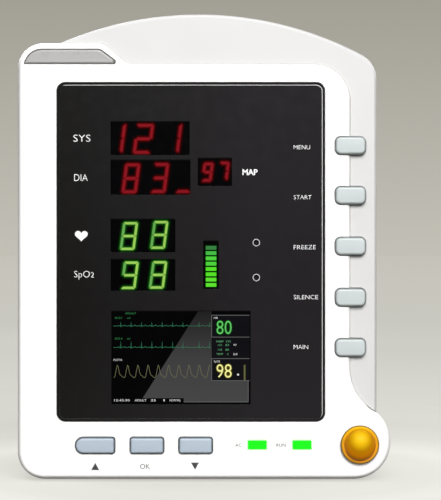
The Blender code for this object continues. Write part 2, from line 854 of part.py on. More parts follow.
def bezier(route, t):
    """A point on the smooth curve that four guide points pull into shape."""
    a, b, c, d = route
    s = 1 - t
    return a * s**3 + b * 3 * s * s * t + c * 3 * s * t * t + d * t**3


# Side and back equipment ----------------------------------------------------


def make_sensor_side():
    low_y, low_z, high_y, high_z = SENSOR_TRAY
    face = SHELL_LEFT + 0.2
    tray = prism(
        "sensor_panel",
        rectangle(low_y + GAP, low_z + GAP, high_y - GAP, high_z - GAP, 5 - GAP),
        face,
        face + TRAY_DEPTH,
        SIDEWAYS,
    )
    cut(
        tray,
        prism(
            "sensor_recess",
            rectangle(
                low_y + SENSOR_RIM,
                low_z + SENSOR_RIM,
                high_y - SENSOR_RIM,
                high_z - SENSOR_RIM,
                3,
            ),
            face - 1,
            face + TRAY_DEPTH - TRAY_FLOOR,
            SIDEWAYS,
            collection=CUTTERS,
        ),
    )
    colours = {"spo2_socket": KEY_BLUE, "cuff_socket": STEEL, "temperature_socket": KEY_GREY}
    y = (low_y + high_y) / 2
    floor = face + TRAY_DEPTH - TRAY_FLOOR
    for name, (z, radius, bore) in SOCKETS.items():
        colour = colours[name]
        cut(
            tray,
            cylinder(name + "_hole", (floor - 1, y, z), 5, radius - 2 + GAP, "X", 24, CUTTERS),
        )
        socket = cylinder(name, (floor - GAP - 5, y, z), 5, radius, "X", 28)
        stem = cylinder(name + "_stem", (floor - 2, y, z), 10, radius - 2, "X", 24, CUTTERS)
        well = cylinder(name + "_well", (floor - 7, y, z), 10, bore, "X", 24, CUTTERS)
        unite(socket, stem)
        cut(socket, well)
        finish(socket, colour, 0.35, 1.0 if colour is STEEL else 0.0)
    finish(tray, KEY_GREY, 0.45)


def make_back():
    low_x, low_z, high_x, high_z = REAR_TRAY
    face = SHELL_BACK - 0.2
    floor = face - TRAY_DEPTH + TRAY_FLOOR
    tray = prism(
        "rear_panel",
        rectangle(low_x + GAP, low_z + GAP, high_x - GAP, high_z - GAP, 4 - GAP),
        face - TRAY_DEPTH,
        face,
    )
    cut(
        tray,
        prism(
            "rear_recess",
            rectangle(
                low_x + REAR_RIM, low_z + REAR_RIM, high_x - REAR_RIM, high_z - REAR_RIM, 2.5
            ),
            floor,
            face + 1,
            collection=CUTTERS,
        ),
    )
    finish(tray, KEY_GREY, 0.45)

    def opening(name, x, z, width, height):
        hole = prism(
            name + "_hole",
            centred(x, z, width + 2 * GAP, height + 2 * GAP),
            floor - 5,
            floor + 2,
            collection=CUTTERS,
        )
        cut(tray, hole)

    opening("mains_inlet", *MAINS_INLET)
    opening("fuse_drawer", *FUSE_DRAWER)
    opening("power_switch", *ROCKER, *ROCKER_OPENING)
    opening("network_port", *NETWORK_PORT)
    inlet = prism("mains_inlet", centred(*MAINS_INLET, 3), floor - 16, floor + 3)
    cut(
        inlet,
        prism(
            "mains_well",
            centred(*MAINS_WELL, 3),
            floor - 13,
            floor + 4,
            collection=CUTTERS,
        ),
    )
    for i, (x, z) in enumerate(MAINS_PINS):
        pin = box(
            f"mains_pin_{i}", (x - 1, floor - 14, z - 2), (x + 1, floor + 1, z + 2), CUTTERS
        )
        unite(inlet, pin)
    finish(inlet, BLACK, 0.4)
    drawer = prism("fuse_drawer", centred(*FUSE_DRAWER), floor - 12, floor + 0.8)
    lip = prism(
        "drawer_lip", centred(*DRAWER_LIP, 1), floor + GAP, floor + 2, collection=CUTTERS
    )
    unite(drawer, lip)
    finish(drawer, BLACK, 0.45)
    make_rocker(floor)
    port = prism("network_port", centred(*NETWORK_PORT), floor - 14, floor + 0.6)
    cut(
        port,
        prism("port_well", centred(*PORT_WELL), floor - 10, floor + 2, collection=CUTTERS),
    )
    finish(port, STEEL, 0.35, 1.0)
    x, z = GROUND_STUD
    stud = cylinder("ground_stud", (x, floor + GAP, z), 6, STUD_RADIUS, "Y", 24)
    washer = cylinder("stud_base", (x, floor + GAP, z), 1.5, 5.0, "Y", 24, CUTTERS)
    unite(stud, washer)
    finish(stud, BRASS, 0.3, 1.0)
    plate = prism("mount_plate", rectangle(*MOUNT_PLATE, 6), SHELL_BACK + GAP, HALF_DEPTH)
    middle_x = (MOUNT_PLATE[0] + MOUNT_PLATE[2]) / 2
    middle_z = (MOUNT_PLATE[1] + MOUNT_PLATE[3]) / 2
    offset, radius = MOUNT_HOLE
    for i in range(4):
        x = middle_x + (offset if i % 2 else -offset)
        z = middle_z + (offset if i > 1 else -offset)
        cut(plate, cylinder(f"plate_hole_{i}", (x, SHELL_BACK, z), 5, radius, "Y", 20, CUTTERS))
    finish(plate, STEEL, 0.45, 1.0)


def make_rocker(floor):
    """The mains switch: a rocker that tilts about X, drawn in its off position."""
    x, z = ROCKER
    half = ROCKER_SIZE[1] / 2
    outline = [(-2.5, -half + 1.2), (1.6, -half + 0.6), (0.4, 0), (1.6, half - 0.6)]
    outline += [(-2.5, half - 1.2), (-5.0, 0)]
    rocker = prism(
        "power_switch", outline, x - ROCKER_SIZE[0] / 2, x + ROCKER_SIZE[0] / 2, SIDEWAYS
    )
    rocker.data.transform(Matrix.Rotation(math.radians(ROCKER_TILT), 4, "X"))
    pivot = Vector((0, floor + 1.0, z)) * MM
    rocker.location = pivot
    finish(rocker, BLACK, 0.35)


def make_battery_door():
    """The door turns on its lower edge, about an axis along Y."""
    low_y, low_z, high_y, high_z = BATTERY_DOOR
    thick = SHELL_WALL - 0.2
    middle = SHELL_RIGHT - thick / 2
    pivot_z = low_z + GAP + thick / 2
    lower = arc((middle, pivot_z), thick / 2, 180, 360, 22.5)
    outline = lower + [(SHELL_RIGHT, high_z - GAP), (SHELL_RIGHT - thick, high_z - GAP)]
    door = prism("battery_door", outline, low_y + GAP, high_y - GAP)
    put_origin(door, (middle, (low_y + high_y) / 2, pivot_z))
    finish(door, LIGHT_GREY, 0.4)


def make_feet_and_screws():
    for i, (x, y) in enumerate(FEET):
        foot = turned(
            f"foot_{i + 1}",
            [(0, 3.7), (FOOT_RADIUS, 3.7), (FOOT_RADIUS, 1.0), (FOOT_RADIUS - 1, 0), (0, 0)],
            (x, y, 0),
            "Z",
            24,
        )
        finish(foot, RUBBER, 0.8)
    for i, (x, z) in enumerate(SCREW_POSTS):
        screw = cylinder(f"housing_screw_{i + 1}", (x, -43, z), 11.4, 1.5, "Y", 16)
        head = cylinder(f"screw_head_{i}", (x, -31.7, z), 2.6, 3.3, "Y", 20, CUTTERS)
        socket = cylinder(f"screw_drive_{i}", (x, -30.4, z), 3, 1.4, "Y", 6, CUTTERS)
        unite(screw, head)
        cut(screw, socket)
        finish(screw, STEEL, 0.3, 1.0)


side_holes = side_key_holes()
make_bezel(side_holes)
make_shell(side_holes)
make_panel()
make_lens()
make_lights()
make_keys()
make_knob()
make_internals()
make_tube()
make_sensor_side()
make_back()
make_battery_door()
make_feet_and_screws()
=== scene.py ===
"""The looks of the patient monitor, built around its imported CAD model.

Lengths are in millimetres until a mesh is made. +X is right of someone facing the screen,
the front faces -Y and +Z is up.
"""

import math

import bmesh
import bpy
from mathutils import Matrix, Vector


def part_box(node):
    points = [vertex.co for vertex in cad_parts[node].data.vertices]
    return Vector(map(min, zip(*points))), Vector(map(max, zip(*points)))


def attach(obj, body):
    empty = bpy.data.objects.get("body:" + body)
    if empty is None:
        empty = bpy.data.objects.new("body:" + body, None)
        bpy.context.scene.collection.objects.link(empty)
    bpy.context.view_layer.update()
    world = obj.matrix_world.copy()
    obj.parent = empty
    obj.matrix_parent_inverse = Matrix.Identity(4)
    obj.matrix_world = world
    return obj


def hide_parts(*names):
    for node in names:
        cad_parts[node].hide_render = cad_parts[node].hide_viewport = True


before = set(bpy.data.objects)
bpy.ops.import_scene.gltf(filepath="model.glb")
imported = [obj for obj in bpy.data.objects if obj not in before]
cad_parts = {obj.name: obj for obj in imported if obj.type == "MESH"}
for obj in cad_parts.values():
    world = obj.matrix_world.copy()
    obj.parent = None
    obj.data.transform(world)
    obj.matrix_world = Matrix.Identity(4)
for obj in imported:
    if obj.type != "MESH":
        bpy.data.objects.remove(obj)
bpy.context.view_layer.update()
MM = 0.001


def node_box(node):
    """A CAD node's lowest and highest corner, mm."""
    low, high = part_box(node)
    return low / MM, high / MM


# Driving places, read from the frame ------------------------------------------

BEZEL_LOW, BEZEL_HIGH = node_box("front_bezel")
SHELL_LOW, SHELL_HIGH = node_box("rear_housing")
PANEL_LOW, PANEL_HIGH = node_box("display_window")
FRONT = BEZEL_LOW.y
BACK_OF_BEZEL = BEZEL_HIGH.y
GAP = 0.3
WALL = 2.5

# Shapes that a box can't say
BEZEL_TOP = 221.4  # right of the lamp's shoulder
BEZEL_RIGHT = 77.4  # above the knob's lobe
LOBE = (79.4, 20.7, 19.9)  # x, z and radius, as for DOME and LENS_ARC
WAIST_RADIUS = 27.0  # the hollow curve from the lobe to the right edge
DOME = (-2.8, 62.3, 186.0)
DOME_FOOT = 190.0
SHELL_TOP = 206.0  # the deep body, behind the grip bar
SHELL_RIGHT = SHELL_LOW.x + 189.7
LENS_ARC = (-85.9, 219.5, 9.6)
LENS_SLANT = (-44.9, -55.2)  # x of its low and its high end
GRIP_FRONT, GRIP_BACK = -33.0, -18.0
GRIP_POCKET = (-48.0, 207.0, 46.0, 228.0)  # left, bottom, right, top
PANEL_CORNER = 4.5
SIDE_KEYS = ("menu_key", "start_key", "freeze_key", "silence_key", "main_key")
BOTTOM_KEYS = ("up_key", "ok_key", "down_key")
LIGHTS = ("ac_light_pipe", "run_light_pipe")
DISPLAYS = (
    *("sys_display", "dia_display", "map_display", "pulse_display", "spo2_display"),
    *("level_bargraph", "lcd_module"),
)
SCREWS = [f"housing_screw_{i}" for i in range(1, 5)]
# Radii round each screw: its bore, its head's well, the bezel's post and the housing's tube
SCREW_BORE, SCREW_WELL, POST, TUBE = 2.0, 3.9, 4.0, 5.5
WELL_FLOOR = -32  # under a screw's head


# Outlines ---------------------------------------------------------------------


def arc(centre, radius, start, end, step=4.0):
    """Points on a round stretch, from one angle to another in degrees."""
    count = max(2, math.ceil(abs(end - start) / step - 0.01))
    angles = [math.radians(start + (end - start) * i / count) for i in range(count + 1)]
    return [(centre[0] + radius * math.cos(a), centre[1] + radius * math.sin(a)) for a in angles]


def rounded(corners, step=9.0):
    """A closed outline from (x, y, radius) corners, each one rounded by its own radius."""
    points = []
    for i, (x, y, radius) in enumerate(corners):
        here = Vector((x, y))
        if radius == 0:
            points.append((x, y))
            continue
        to_last = (Vector(corners[i - 1][:2]) - here).normalized()
        to_next = (Vector(corners[(i + 1) % len(corners)][:2]) - here).normalized()
        half = to_last.angle(to_next) / 2
        centre = here + (to_last + to_next).normalized() * radius / math.sin(half)
        first = here + to_last * radius / math.tan(half) - centre
        last = here + to_next * radius / math.tan(half) - centre
        start = math.degrees(math.atan2(first.y, first.x))
        turn = math.degrees(math.atan2(last.y, last.x)) - start
        turn = (turn + 180) % 360 - 180
        points += arc(centre, radius, start, start + turn, step)
    return points


def rectangle(left, bottom, right, top, radius=0.0, step=9.0):
    corners = ((left, bottom), (right, bottom), (right, top), (left, top))
    return rounded([(x, y, radius) for x, y in corners], step)


def box_outline(left, bottom, right, top, radius, step=9.0):
    """A rounded rectangle as a function of how far it is grown."""
    return lambda grow: rectangle(
        left - grow, bottom - grow, right + grow, top + grow, max(radius + grow, 0.02), step
    )


def centred(x, y, width, height, radius):
    """A rounded rectangle about its middle, as a function of how far it is grown."""
    return box_outline(x - width / 2, y - height / 2, x + width / 2, y + height / 2, radius)


def circle(x, y, radius, step=7.5):
    return lambda grow: arc((x, y), radius + grow, 0, 360 - step, step)


def bezel_outline(grow=0.0, shoulder=13.2):
    """The front frame, anticlockwise from its lower right lobe."""
    lobe_x, lobe_z, lobe_radius = LOBE
    waist_x = BEZEL_RIGHT + WAIST_RADIUS
    reach = WAIST_RADIUS + lobe_radius
    waist_z = lobe_z + math.sqrt(reach**2 - (waist_x - lobe_x) ** 2)
    to_waist = math.degrees(math.atan2(waist_z - lobe_z, waist_x - lobe_x))
    points = arc((lobe_x, lobe_z), lobe_radius + grow, -90, to_waist)
    points += arc((waist_x, waist_z), WAIST_RADIUS - grow, to_waist + 180, 180)[1:]
    right = BEZEL_RIGHT + grow
    top = BEZEL_TOP + grow
    shoulder_top = BEZEL_HIGH.z + grow
    left = BEZEL_LOW.x - grow
    bottom = BEZEL_LOW.z - grow
    points += rounded(
        [
            (right, top, 19.5 + grow),
            (-40.5 + 0.37 * grow, top, 5.0 - grow),
            (-53.5 + 0.37 * grow, shoulder_top, 5.0 + grow),
            (left, shoulder_top, shoulder + grow),
            (left, bottom, 14.6 + grow),
            (lobe_x, bottom, 0),
        ],
        6.0,
    )[:-1]
    return points


def shell_outline(grow=0.0, bottom=SHELL_LOW.z):
    """The rear shell: straight sides and bottom under a shallow dome."""
    x, z, radius = DOME
    radius += grow
    left = SHELL_LOW.x - grow
    right = SHELL_RIGHT + grow
    corner = 14.8 + grow

    def corner_centre(across):
        return across, z + math.sqrt((radius - corner) ** 2 - (across - x) ** 2)

    right_centre = corner_centre(right - corner)
    left_centre = corner_centre(left + corner)
    right_angle = math.degrees(math.atan2(right_centre[1] - z, right_centre[0] - x))
    left_angle = math.degrees(math.atan2(left_centre[1] - z, left_centre[0] - x))
    points = arc(right_centre, corner, 0, right_angle, 6)
    points += arc((x, z), radius, right_angle, left_angle, 1)[1:]
    points += arc(left_centre, corner, left_angle, 180, 6)[1:]
    points += arc((left + 10, bottom - grow + 10), 10, 180, 270, 6)
    points += arc((right - 10, bottom - grow + 10), 10, 270, 360, 6)
    return points


def body_outline(grow=0.0):
    return rectangle(
        SHELL_LOW.x + 0.2 - grow,
        SHELL_LOW.z - grow,
        SHELL_RIGHT - 0.2 + grow,
        SHELL_TOP + grow,
        9.8 + grow,
        6,
    )


def grip_outline(grow=0.0):
    """The finger space inside the grip bar: straight sides under the dome's arc."""
    left, bottom, right, _ = GRIP_POCKET
    x, z, radius = DOME
    radius += grow - WALL
    left -= grow
    right += grow
    first = math.degrees(math.acos((right - x) / radius))
    last = math.degrees(math.acos((left - x) / radius))
    return [(left, bottom - grow), (right, bottom - grow)] + arc((x, z), radius, first, last, 2)


def lens_outline(grow=0.0):
    """The lamp lens: a round left end, which follows the shoulder, and a slanted right end."""
    x, z, radius = LENS_ARC
    tip, corner = LENS_SLANT
    half_tip = math.atan2(z + radius - BEZEL_TOP, tip - corner) / 2
    radius += grow
    bottom = BEZEL_TOP - grow
    end = 180 - math.degrees(math.asin((bottom - z) / radius))
    left = arc((x, z), radius, 90, end, (end - 90) / 20)
    right = rounded(
        [
            (*left[-1], 0),
            (tip + grow / math.tan(half_tip), bottom, max(1.2 + grow / 2, 0.05)),
            (corner + grow * math.tan(half_tip), z + radius, 4.0 + grow),
            (*left[0], 0),
        ]
    )
    return right + left[1:-1]


# Meshes -----------------------------------------------------------------------

PLACE = {
    "X": lambda a, b, along: (along, a, b),
    "Y": lambda a, b, along: (a, along, b),
    "Z": lambda a, b, along: (a, b, along),
}


def new_object(name, mesh):
    obj = bpy.data.objects.new(name, mesh)
    bpy.context.scene.collection.objects.link(obj)
    return obj


def from_bmesh(name, bm):
    bmesh.ops.recalc_face_normals(bm, faces=bm.faces)
    mesh = bpy.data.meshes.new(name)
    bm.to_mesh(mesh)
    bm.free()
    return new_object(name, mesh)


def new_ring(bm, points, along, axis):
    return [bm.verts.new(Vector(PLACE[axis](a, b, along)) * MM) for a, b in points]


def skin(bm, lower, upper):
    for i, vert in enumerate(lower):
        j = (i + 1) % len(lower)
        bm.faces.new((vert, lower[j], upper[j], upper[i]))


def add_loft(bm, rings, axis="Y"):
    """Adds a closed body through rings of (points, place along the axis)."""
    made = [new_ring(bm, points, along, axis) for points, along in rings]
    for lower, upper in zip(made, made[1:]):
        skin(bm, lower, upper)
    bm.faces.new(made[0])
    bm.faces.new(made[-1])


def loft(name, outline, profile, axis="Y"):
    """A closed body: outline(grow) drawn at each (grow, place along the axis)."""
    bm = bmesh.new()
    add_loft(bm, [(outline(grow), along) for grow, along in profile], axis)
    return from_bmesh(name, bm)


def ring_loft(name, outline, section, axis="Y"):
    """A closed ring: a section of (grow, place along the axis) points carried round an outline."""
    bm = bmesh.new()
    rings = [new_ring(bm, outline(grow), along, axis) for grow, along in section]
    for ring, other in zip(rings, rings[1:] + rings[:1]):
        skin(bm, ring, other)
    return from_bmesh(name, bm)


def quarter(steps):
    """(sine, one less the cosine) along a quarter circle: how a round edge leaves each face."""
    angles = [math.pi / 2 * i / steps for i in range(steps + 1)]
    return [(math.sin(a), 1 - math.cos(a)) for a in angles]


def round_rim(front, back, front_radius, back_radius, steps=6):
    """A profile with a round edge at each end."""
    sign = 1 if back > front else -1
    profile = [
        (front_radius * (out - 1), front + sign * front_radius * along)
        for out, along in quarter(steps)
    ]
    return profile + [
        (back_radius * (out - 1), back - sign * back_radius * along)
        for out, along in reversed(quarter(steps))
    ]


def flared(front, back, flare, steps=4):
    """A cutter's profile, whose mouth at front leaves a round edge."""
    sign = 1 if back > front else -1
    mouth = [(flare * (1 - out), front + sign * flare * along) for out, along in quarter(steps)]
    return [(flare, front - sign * 1.0), *mouth, (0, back)]


def evaluated_mesh(obj):
    bpy.context.view_layer.update()
    graph = bpy.context.evaluated_depsgraph_get()
    return bpy.data.meshes.new_from_object(obj.evaluated_get(graph))


def combine(obj, others, operation):
    """Cuts others from obj, or joins them to it, in one go."""
    group = bpy.data.collections.new(obj.name + "_others")
    for other in others:
        group.objects.link(other)
    modifier = obj.modifiers.new("combine", "BOOLEAN")
    modifier.operation = operation
    modifier.solver = "EXACT"
    modifier.operand_type = "COLLECTION"
    modifier.collection = group
    mesh = evaluated_mesh(obj)
    obj.modifiers.clear()
    obj.data = mesh
    for other in others:
        bpy.data.objects.remove(other)
    bpy.data.collections.remove(group)
    return obj


def cut(obj, *others):
    return combine(obj, others, "DIFFERENCE")


def unite(obj, *others):
    return combine(obj, others, "UNION")


def smooth(obj, angle=32):
    """Smooth shading that keeps flat faces flat and sharp corners sharp."""
    obj.data.shade_smooth()
    obj.data.set_sharp_from_angle(angle=math.radians(angle))
    weighted = obj.modifiers.new("flat_faces", "WEIGHTED_NORMAL")
    weighted.keep_sharp = True
    return obj


def turned(name, profile, centre, axis, sides=64):
    """A round body from (radius, place along the axis) points that start and end on the axis."""
    step = 360 / sides
    bm = bmesh.new()
    rings = [
        new_ring(bm, arc(centre, radius, 0, 360 - step, step), along, axis)
        for radius, along in profile
        if radius > 0
    ]
    for lower, upper in zip(rings, rings[1:]):
        skin(bm, lower, upper)
    for ring, (_, along) in ((rings[0], profile[0]), (rings[-1], profile[-1])):
        (tip,) = new_ring(bm, [centre], along, axis)
        for vert, following in zip(ring, ring[1:] + ring[:1]):
            bm.faces.new((vert, following, tip))
    return from_bmesh(name, bm)


def plates(name, outlines, front, back, axis="Y"):
    """Many flat shapes of one thickness, as one piece."""
    bm = bmesh.new()
    for points in outlines:
        add_loft(bm, [(points, front), (points, back)], axis)
    return from_bmesh(name, bm)


def ribbon(points, width):
    """The outline of a line of some width through points."""
    sides = ([], [])
    for i, point in enumerate(points):
        here = Vector(point)
        before = Vector(points[max(i - 1, 0)])
        after = Vector(points[min(i + 1, len(points) - 1)])
        ahead = (after - here).normalized() if after != here else (here - before).normalized()
        behind = (here - before).normalized() if before != here else ahead
        middle = ahead + behind
        middle = middle.normalized() if middle.length > 0.1 else ahead
        across = Vector((-middle.y, middle.x))
        reach = width / 2 / max(across.dot(Vector((-ahead.y, ahead.x))), 0.45)
        sides[0].append(tuple(here + across * reach))
        sides[1].append(tuple(here - across * reach))
    return sides[0] + sides[1][::-1]


def bar(x, z, width, height):
    """A small upright rectangle about its middle."""
    return rectangle(x - width / 2, z - height / 2, x + width / 2, z + height / 2)


def text_mesh(text, bold):
    """Text of size 1 on the ground plane, as a mesh with a little depth."""
    curve = bpy.data.curves.new("line", "FONT")
    curve.body = text
    curve.resolution_u = 3
    curve.extrude = 0.5
    curve.offset = bold
    line = new_object("line", curve)
    mesh = evaluated_mesh(line)
    bpy.data.objects.remove(line)
    return mesh


def extent(mesh, axis):
    places = [vert.co[axis] for vert in mesh.vertices]
    return min(places), max(places)


def lettering(name, lines, surface_y, bold=0.0, depth=0.06):
    """Raised lettering that faces -Y, sunk a third of its depth in a surface. Each line is its
    text, left end, middle of its capitals' height, capital height and width."""
    capital_low, capital_high = extent(text_mesh("H", bold), 1)
    turn = Matrix.Rotation(math.pi / 2, 4, "X")
    bm = bmesh.new()
    for text, left, z, height, width in lines:
        mesh = text_mesh(text, bold)
        low, high = extent(mesh, 0)
        across = width / (high - low)
        up = height / (capital_high - capital_low)
        middle = z - (capital_low + capital_high) / 2 * up
        start = Vector((left - low * across, surface_y - depth / 6, middle))
        size = Matrix.Diagonal((across * MM, up * MM, depth * MM, 1))
        mesh.transform(Matrix.Translation(start * MM) @ turn @ size)
        bm.from_mesh(mesh)
    bmesh.ops.remove_doubles(bm, verts=bm.verts, dist=1e-7)
    return from_bmesh(name, bm)


# Materials --------------------------------------------------------------------


def srgb(red, green, blue):
    """A colour as seen on a screen, 0 to 255, as the linear colour that a shader takes."""

    def linear(value):
        value /= 255
        return value / 12.92 if value <= 0.04045 else ((value + 0.055) / 1.055) ** 2.4

    return (linear(red), linear(green), linear(blue), 1.0)


def shade(colour, factor):
    return (*(min(1.0, part * factor) for part in colour[:3]), 1.0)


def feed(node, inputs):
    """Each of a node's inputs takes a value, or the output socket that is linked to it."""
    for name, value in inputs.items():
        if isinstance(value, bpy.types.NodeSocket):
            node.id_data.links.new(value, node.inputs[name])
        else:
            node.inputs[name].default_value = value


def from_node(tree, kind, output, inputs, **settings):
    """The output socket of a new shader node."""
    node = tree.nodes.new("ShaderNode" + kind)
    for name, value in settings.items():
        setattr(node, name, value)
    feed(node, inputs)
    return node.outputs[output]


def object_space(tree):
    return from_node(tree, "TexCoord", "Object", {})


def noise(tree, scale, detail=2.0, stretch=None):
    """Noise in the object's own space. Scale is in features per metre."""
    source = object_space(tree)
    if stretch:
        source = from_node(tree, "Mapping", "Vector", {"Scale": stretch, "Vector": source})
    inputs = {"Scale": scale, "Detail": detail, "Vector": source}
    return from_node(tree, "TexNoise", "Fac", inputs)


def ramp(tree, factor, stops):
    """Colours along a factor: (position, colour) stops."""
    node = tree.nodes.new("ShaderNodeValToRGB")
    elements = node.color_ramp.elements
    while len(elements) < len(stops):
        elements.new(0.5)
    for element, (position, colour) in zip(elements, stops):
        element.position = position
        element.color = colour
    feed(node, {"Fac": factor})
    return node.outputs["Color"]


def ranged(tree, source, low, high, to_low=0.0, to_high=1.0):
    """Maps low to high onto to_low to to_high."""
    inputs = {"From Min": low, "From Max": high, "To Min": to_low, "To Max": to_high}
    return from_node(tree, "MapRange", "Result", {"Value": source, **inputs})


def arithmetic(tree, operation, *terms):
    return from_node(tree, "Math", "Value", dict(enumerate(terms)), operation=operation)


def length_of(tree, source):
    return from_node(tree, "VectorMath", "Value", {0: source}, operation="LENGTH")


def new_material(name):
    material = bpy.data.materials.new(name)
    material.use_nodes = True
    return material


def parts_of(material):
    tree = material.node_tree
    return tree, tree.nodes["Principled BSDF"]


def surface(
    name,
    colour,
    roughness,
    metallic=0.0,
    grain=2200,
    relief=0.08,
    mottle=0.03,
    vary=0.05,
    coat=0.0,
    specular=0.5,
    stretch=None,
    emission=None,
):
    """A finished surface: mottled colour, uneven gloss and a fine moulded or brushed grain.
    Noise keeps to its useful middle, 0.3 to 0.7."""
    material = new_material(name)
    tree, shader = parts_of(material)
    colour = srgb(*colour)
    broad = noise(tree, 45, 3.0)
    fine = noise(tree, grain, 2.0, stretch)
    tones = [(0.35, shade(colour, 1 - mottle)), (0.65, shade(colour, 1 + mottle))]
    gloss = noise(tree, 160, 3.0, stretch)
    bump = {"Strength": relief, "Distance": 0.0001, "Height": fine}
    inputs = {
        "Base Color": ramp(tree, broad, tones),
        "Roughness": ranged(tree, gloss, 0.3, 0.7, roughness - vary, roughness + vary),
        "Normal": from_node(tree, "Bump", "Normal", bump),
        "Metallic": metallic,
        "Coat Weight": coat,
        "Coat Roughness": 0.06,
        "Specular IOR Level": specular,
    }
    if emission:
        light = srgb(*emission)
        lit = ramp(tree, broad, [(0.3, shade(light, 0.9)), (0.7, shade(light, 1.05))])
        inputs.update({"Emission Color": lit, "Emission Strength": 1.0})
    feed(shader, inputs)
    return material


def lit_surface(name, colour, body=(10, 10, 10)):
    """A lit segment or screen line: its own light over a dark diffuser."""
    finish = {"grain": 3000, "relief": 0.02, "mottle": 0.1, "specular": 0.0}
    return surface(name, body, 0.4, emission=colour, **finish)


def recolour(material, factor, stops, socket="Base Color"):
    """Gives a surface (position, (red, green, blue)) stops along a factor."""
    tree, shader = parts_of(material)
    feed(shader, {socket: ramp(tree, factor, [(place, srgb(*tone)) for place, tone in stops])})
    return material


def along_axis(tree, axis, low, high):
    """0 to 1 between two places along one axis of the object's space, mm."""
    place = from_node(tree, "SeparateXYZ", axis, {"Vector": object_space(tree)})
    return ranged(tree, place, low * MM, high * MM)


def panel_surface():
    """Polished dark acrylic, with a painted reflection that makes it lighter towards its right
    side.
    """
    finish = {"grain": 1800, "relief": 0.01, "mottle": 0.06, "vary": 0.03, "specular": 0.25}
    material = surface("dark_acrylic", (30, 29, 29), 0.16, **finish)
    across = along_axis(material.node_tree, "X", PANEL_LOW.x, PANEL_HIGH.x)
    # Painted reflection: darker at the left, lighter towards the right.
    return recolour(material, across, [(0.0, (19, 18, 17)), (0.75, (31, 29, 31))])


def knob_surface():
    """Glossy amber plastic with a painted highlight above its middle and painted shade towards its
    flanks.
    """
    low, high = node_box("nav_knob")
    middle = (low + high) / 2
    finish = {"grain": 900, "relief": 0.02, "mottle": 0.05, "vary": 0.04, "specular": 0.08}
    material = surface("amber_gloss", (205, 135, 5), 0.42, **finish)
    tree = material.node_tree
    bright = (-middle.x * MM, 0, -(middle.z + 3.2) * MM)
    inputs = {"Location": bright, "Scale": (1, 0, 1), "Vector": object_space(tree)}
    away = length_of(tree, from_node(tree, "Mapping", "Vector", inputs))
    share = arithmetic(tree, "MULTIPLY", away, 1 / ((high.x - low.x) / 2 * MM))
    # Painted highlight and shade: yellow round the highlight's centre, 3.2 mm above the middle,
    # deeper amber towards the flanks.
    stops = [(0.0, (246, 192, 0)), (0.31, (216, 170, 0)), (0.6, (180, 120, 0))]
    return recolour(material, share, stops + [(0.95, (210, 124, 0))])


def ring_surface():
    """The knob's outer ring: amber plastic with painted light, yellower at its top where light
    falls and darker lower down.
    """
    low, high = node_box("nav_knob")
    material = surface("amber_ring", (240, 165, 30), 0.45, relief=0.02, specular=0.1)
    up = along_axis(material.node_tree, "Z", low.z, high.z)
    # Painted light and shade: the stops grow yellower towards the top of the ring.
    stops = [(0.1, (232, 158, 38)), (0.6, (216, 152, 24)), (0.95, (232, 174, 0))]
    return recolour(material, up, stops)


def bevel_surface():
    """A polished bevel with painted reflections: pale where it faces up or right and dark where it
    faces down or left.
    """
    material = surface("edge_bevel", (40, 40, 40), 0.3, relief=0.01, specular=0.2)
    tree = material.node_tree
    inputs = {0: from_node(tree, "TexCoord", "Normal", {}), 1: (0.9, 0.0, 0.62)}
    facing = from_node(tree, "VectorMath", "Value", inputs, operation="DOT_PRODUCT")
    # Painted reflections: dark facing down or left, pale facing up or right.
    stops = [(place, (tone, tone, tone)) for place, tone in ((0.05, 22), (0.38, 170), (0.56, 226))]
    return recolour(material, facing, stops)


def sheen_surface():
    """A painted reflection: the paler triangle of light reflected on a glossy screen, its
    brightness falling off upwards.
    """
    low, high = node_box("lcd_module")
    material = lit_surface("screen_sheen", (70, 70, 70), (2, 2, 2))
    up = along_axis(material.node_tree, "Z", low.z, high.z)
    stops = [(0.0, (70, 70, 71)), (0.5, (62, 62, 63)), (1.0, (30, 30, 31))]
    return recolour(material, up, stops, "Emission Color")


WHITE = surface("white_shell", (250, 249, 247), 0.38, relief=0.05, mottle=0.006)
GREY = surface("grey_shell", (208, 207, 206), 0.42, relief=0.1, mottle=0.008)
KEY_GREY = surface("key_grey", (192, 199, 199), 0.36, relief=0.05, mottle=0.01)
KEY_BLUE = surface("key_blue", (173, 186, 198), 0.34, relief=0.05, mottle=0.01)
# The key collars' darker colours are partly painted shade, for the outline round each key.
KEY_OUTLINE_SHADE = surface("key_rim", (138, 144, 143), 0.55, relief=0.05)
BLUE_OUTLINE_SHADE = surface("blue_key_rim", (96, 104, 112), 0.55, relief=0.05)
PANEL = panel_surface()
FILTER = surface("display_filter", (3, 3, 4), 0.16, relief=0.01, mottle=0.1, specular=0.05)
AMBER = knob_surface()
AMBER_RING = ring_surface()
# The knob base's dark amber is partly painted shade: the dark outline round the knob.
AMBER_OUTLINE_SHADE = surface("amber_rim", (112, 84, 14), 0.35, relief=0.03)
LENS = surface("lens_frost", (166, 165, 163), 0.3, relief=0.12, mottle=0.02)
LENS_EDGE = surface("lens_edge", (120, 119, 117), 0.5, relief=0.1)
RUBBER = surface("black_rubber", (34, 34, 35), 0.75, relief=0.3, grain=900)
FOAM = surface("dark_foam", (28, 28, 28), 0.95, relief=0.6, grain=1400)
BOARD = surface("solder_mask", (22, 92, 50), 0.35, relief=0.1, grain=500, mottle=0.08)
SILICONE = surface("silicone", (196, 196, 190), 0.7, relief=0.1)
STEEL = surface(
    "zinc_steel", (188, 190, 192), 0.36, 1.0, grain=400, relief=0.15, stretch=(1, 1, 14)
)
NICKEL = surface("nickel", (205, 204, 200), 0.22, 1.0, grain=700, relief=0.06)
BRASS = surface("turned_brass", (206, 168, 92), 0.28, 1.0, grain=700, relief=0.1)
BLACK = surface("black_plastic", (28, 28, 30), 0.45, relief=0.2, grain=1500)
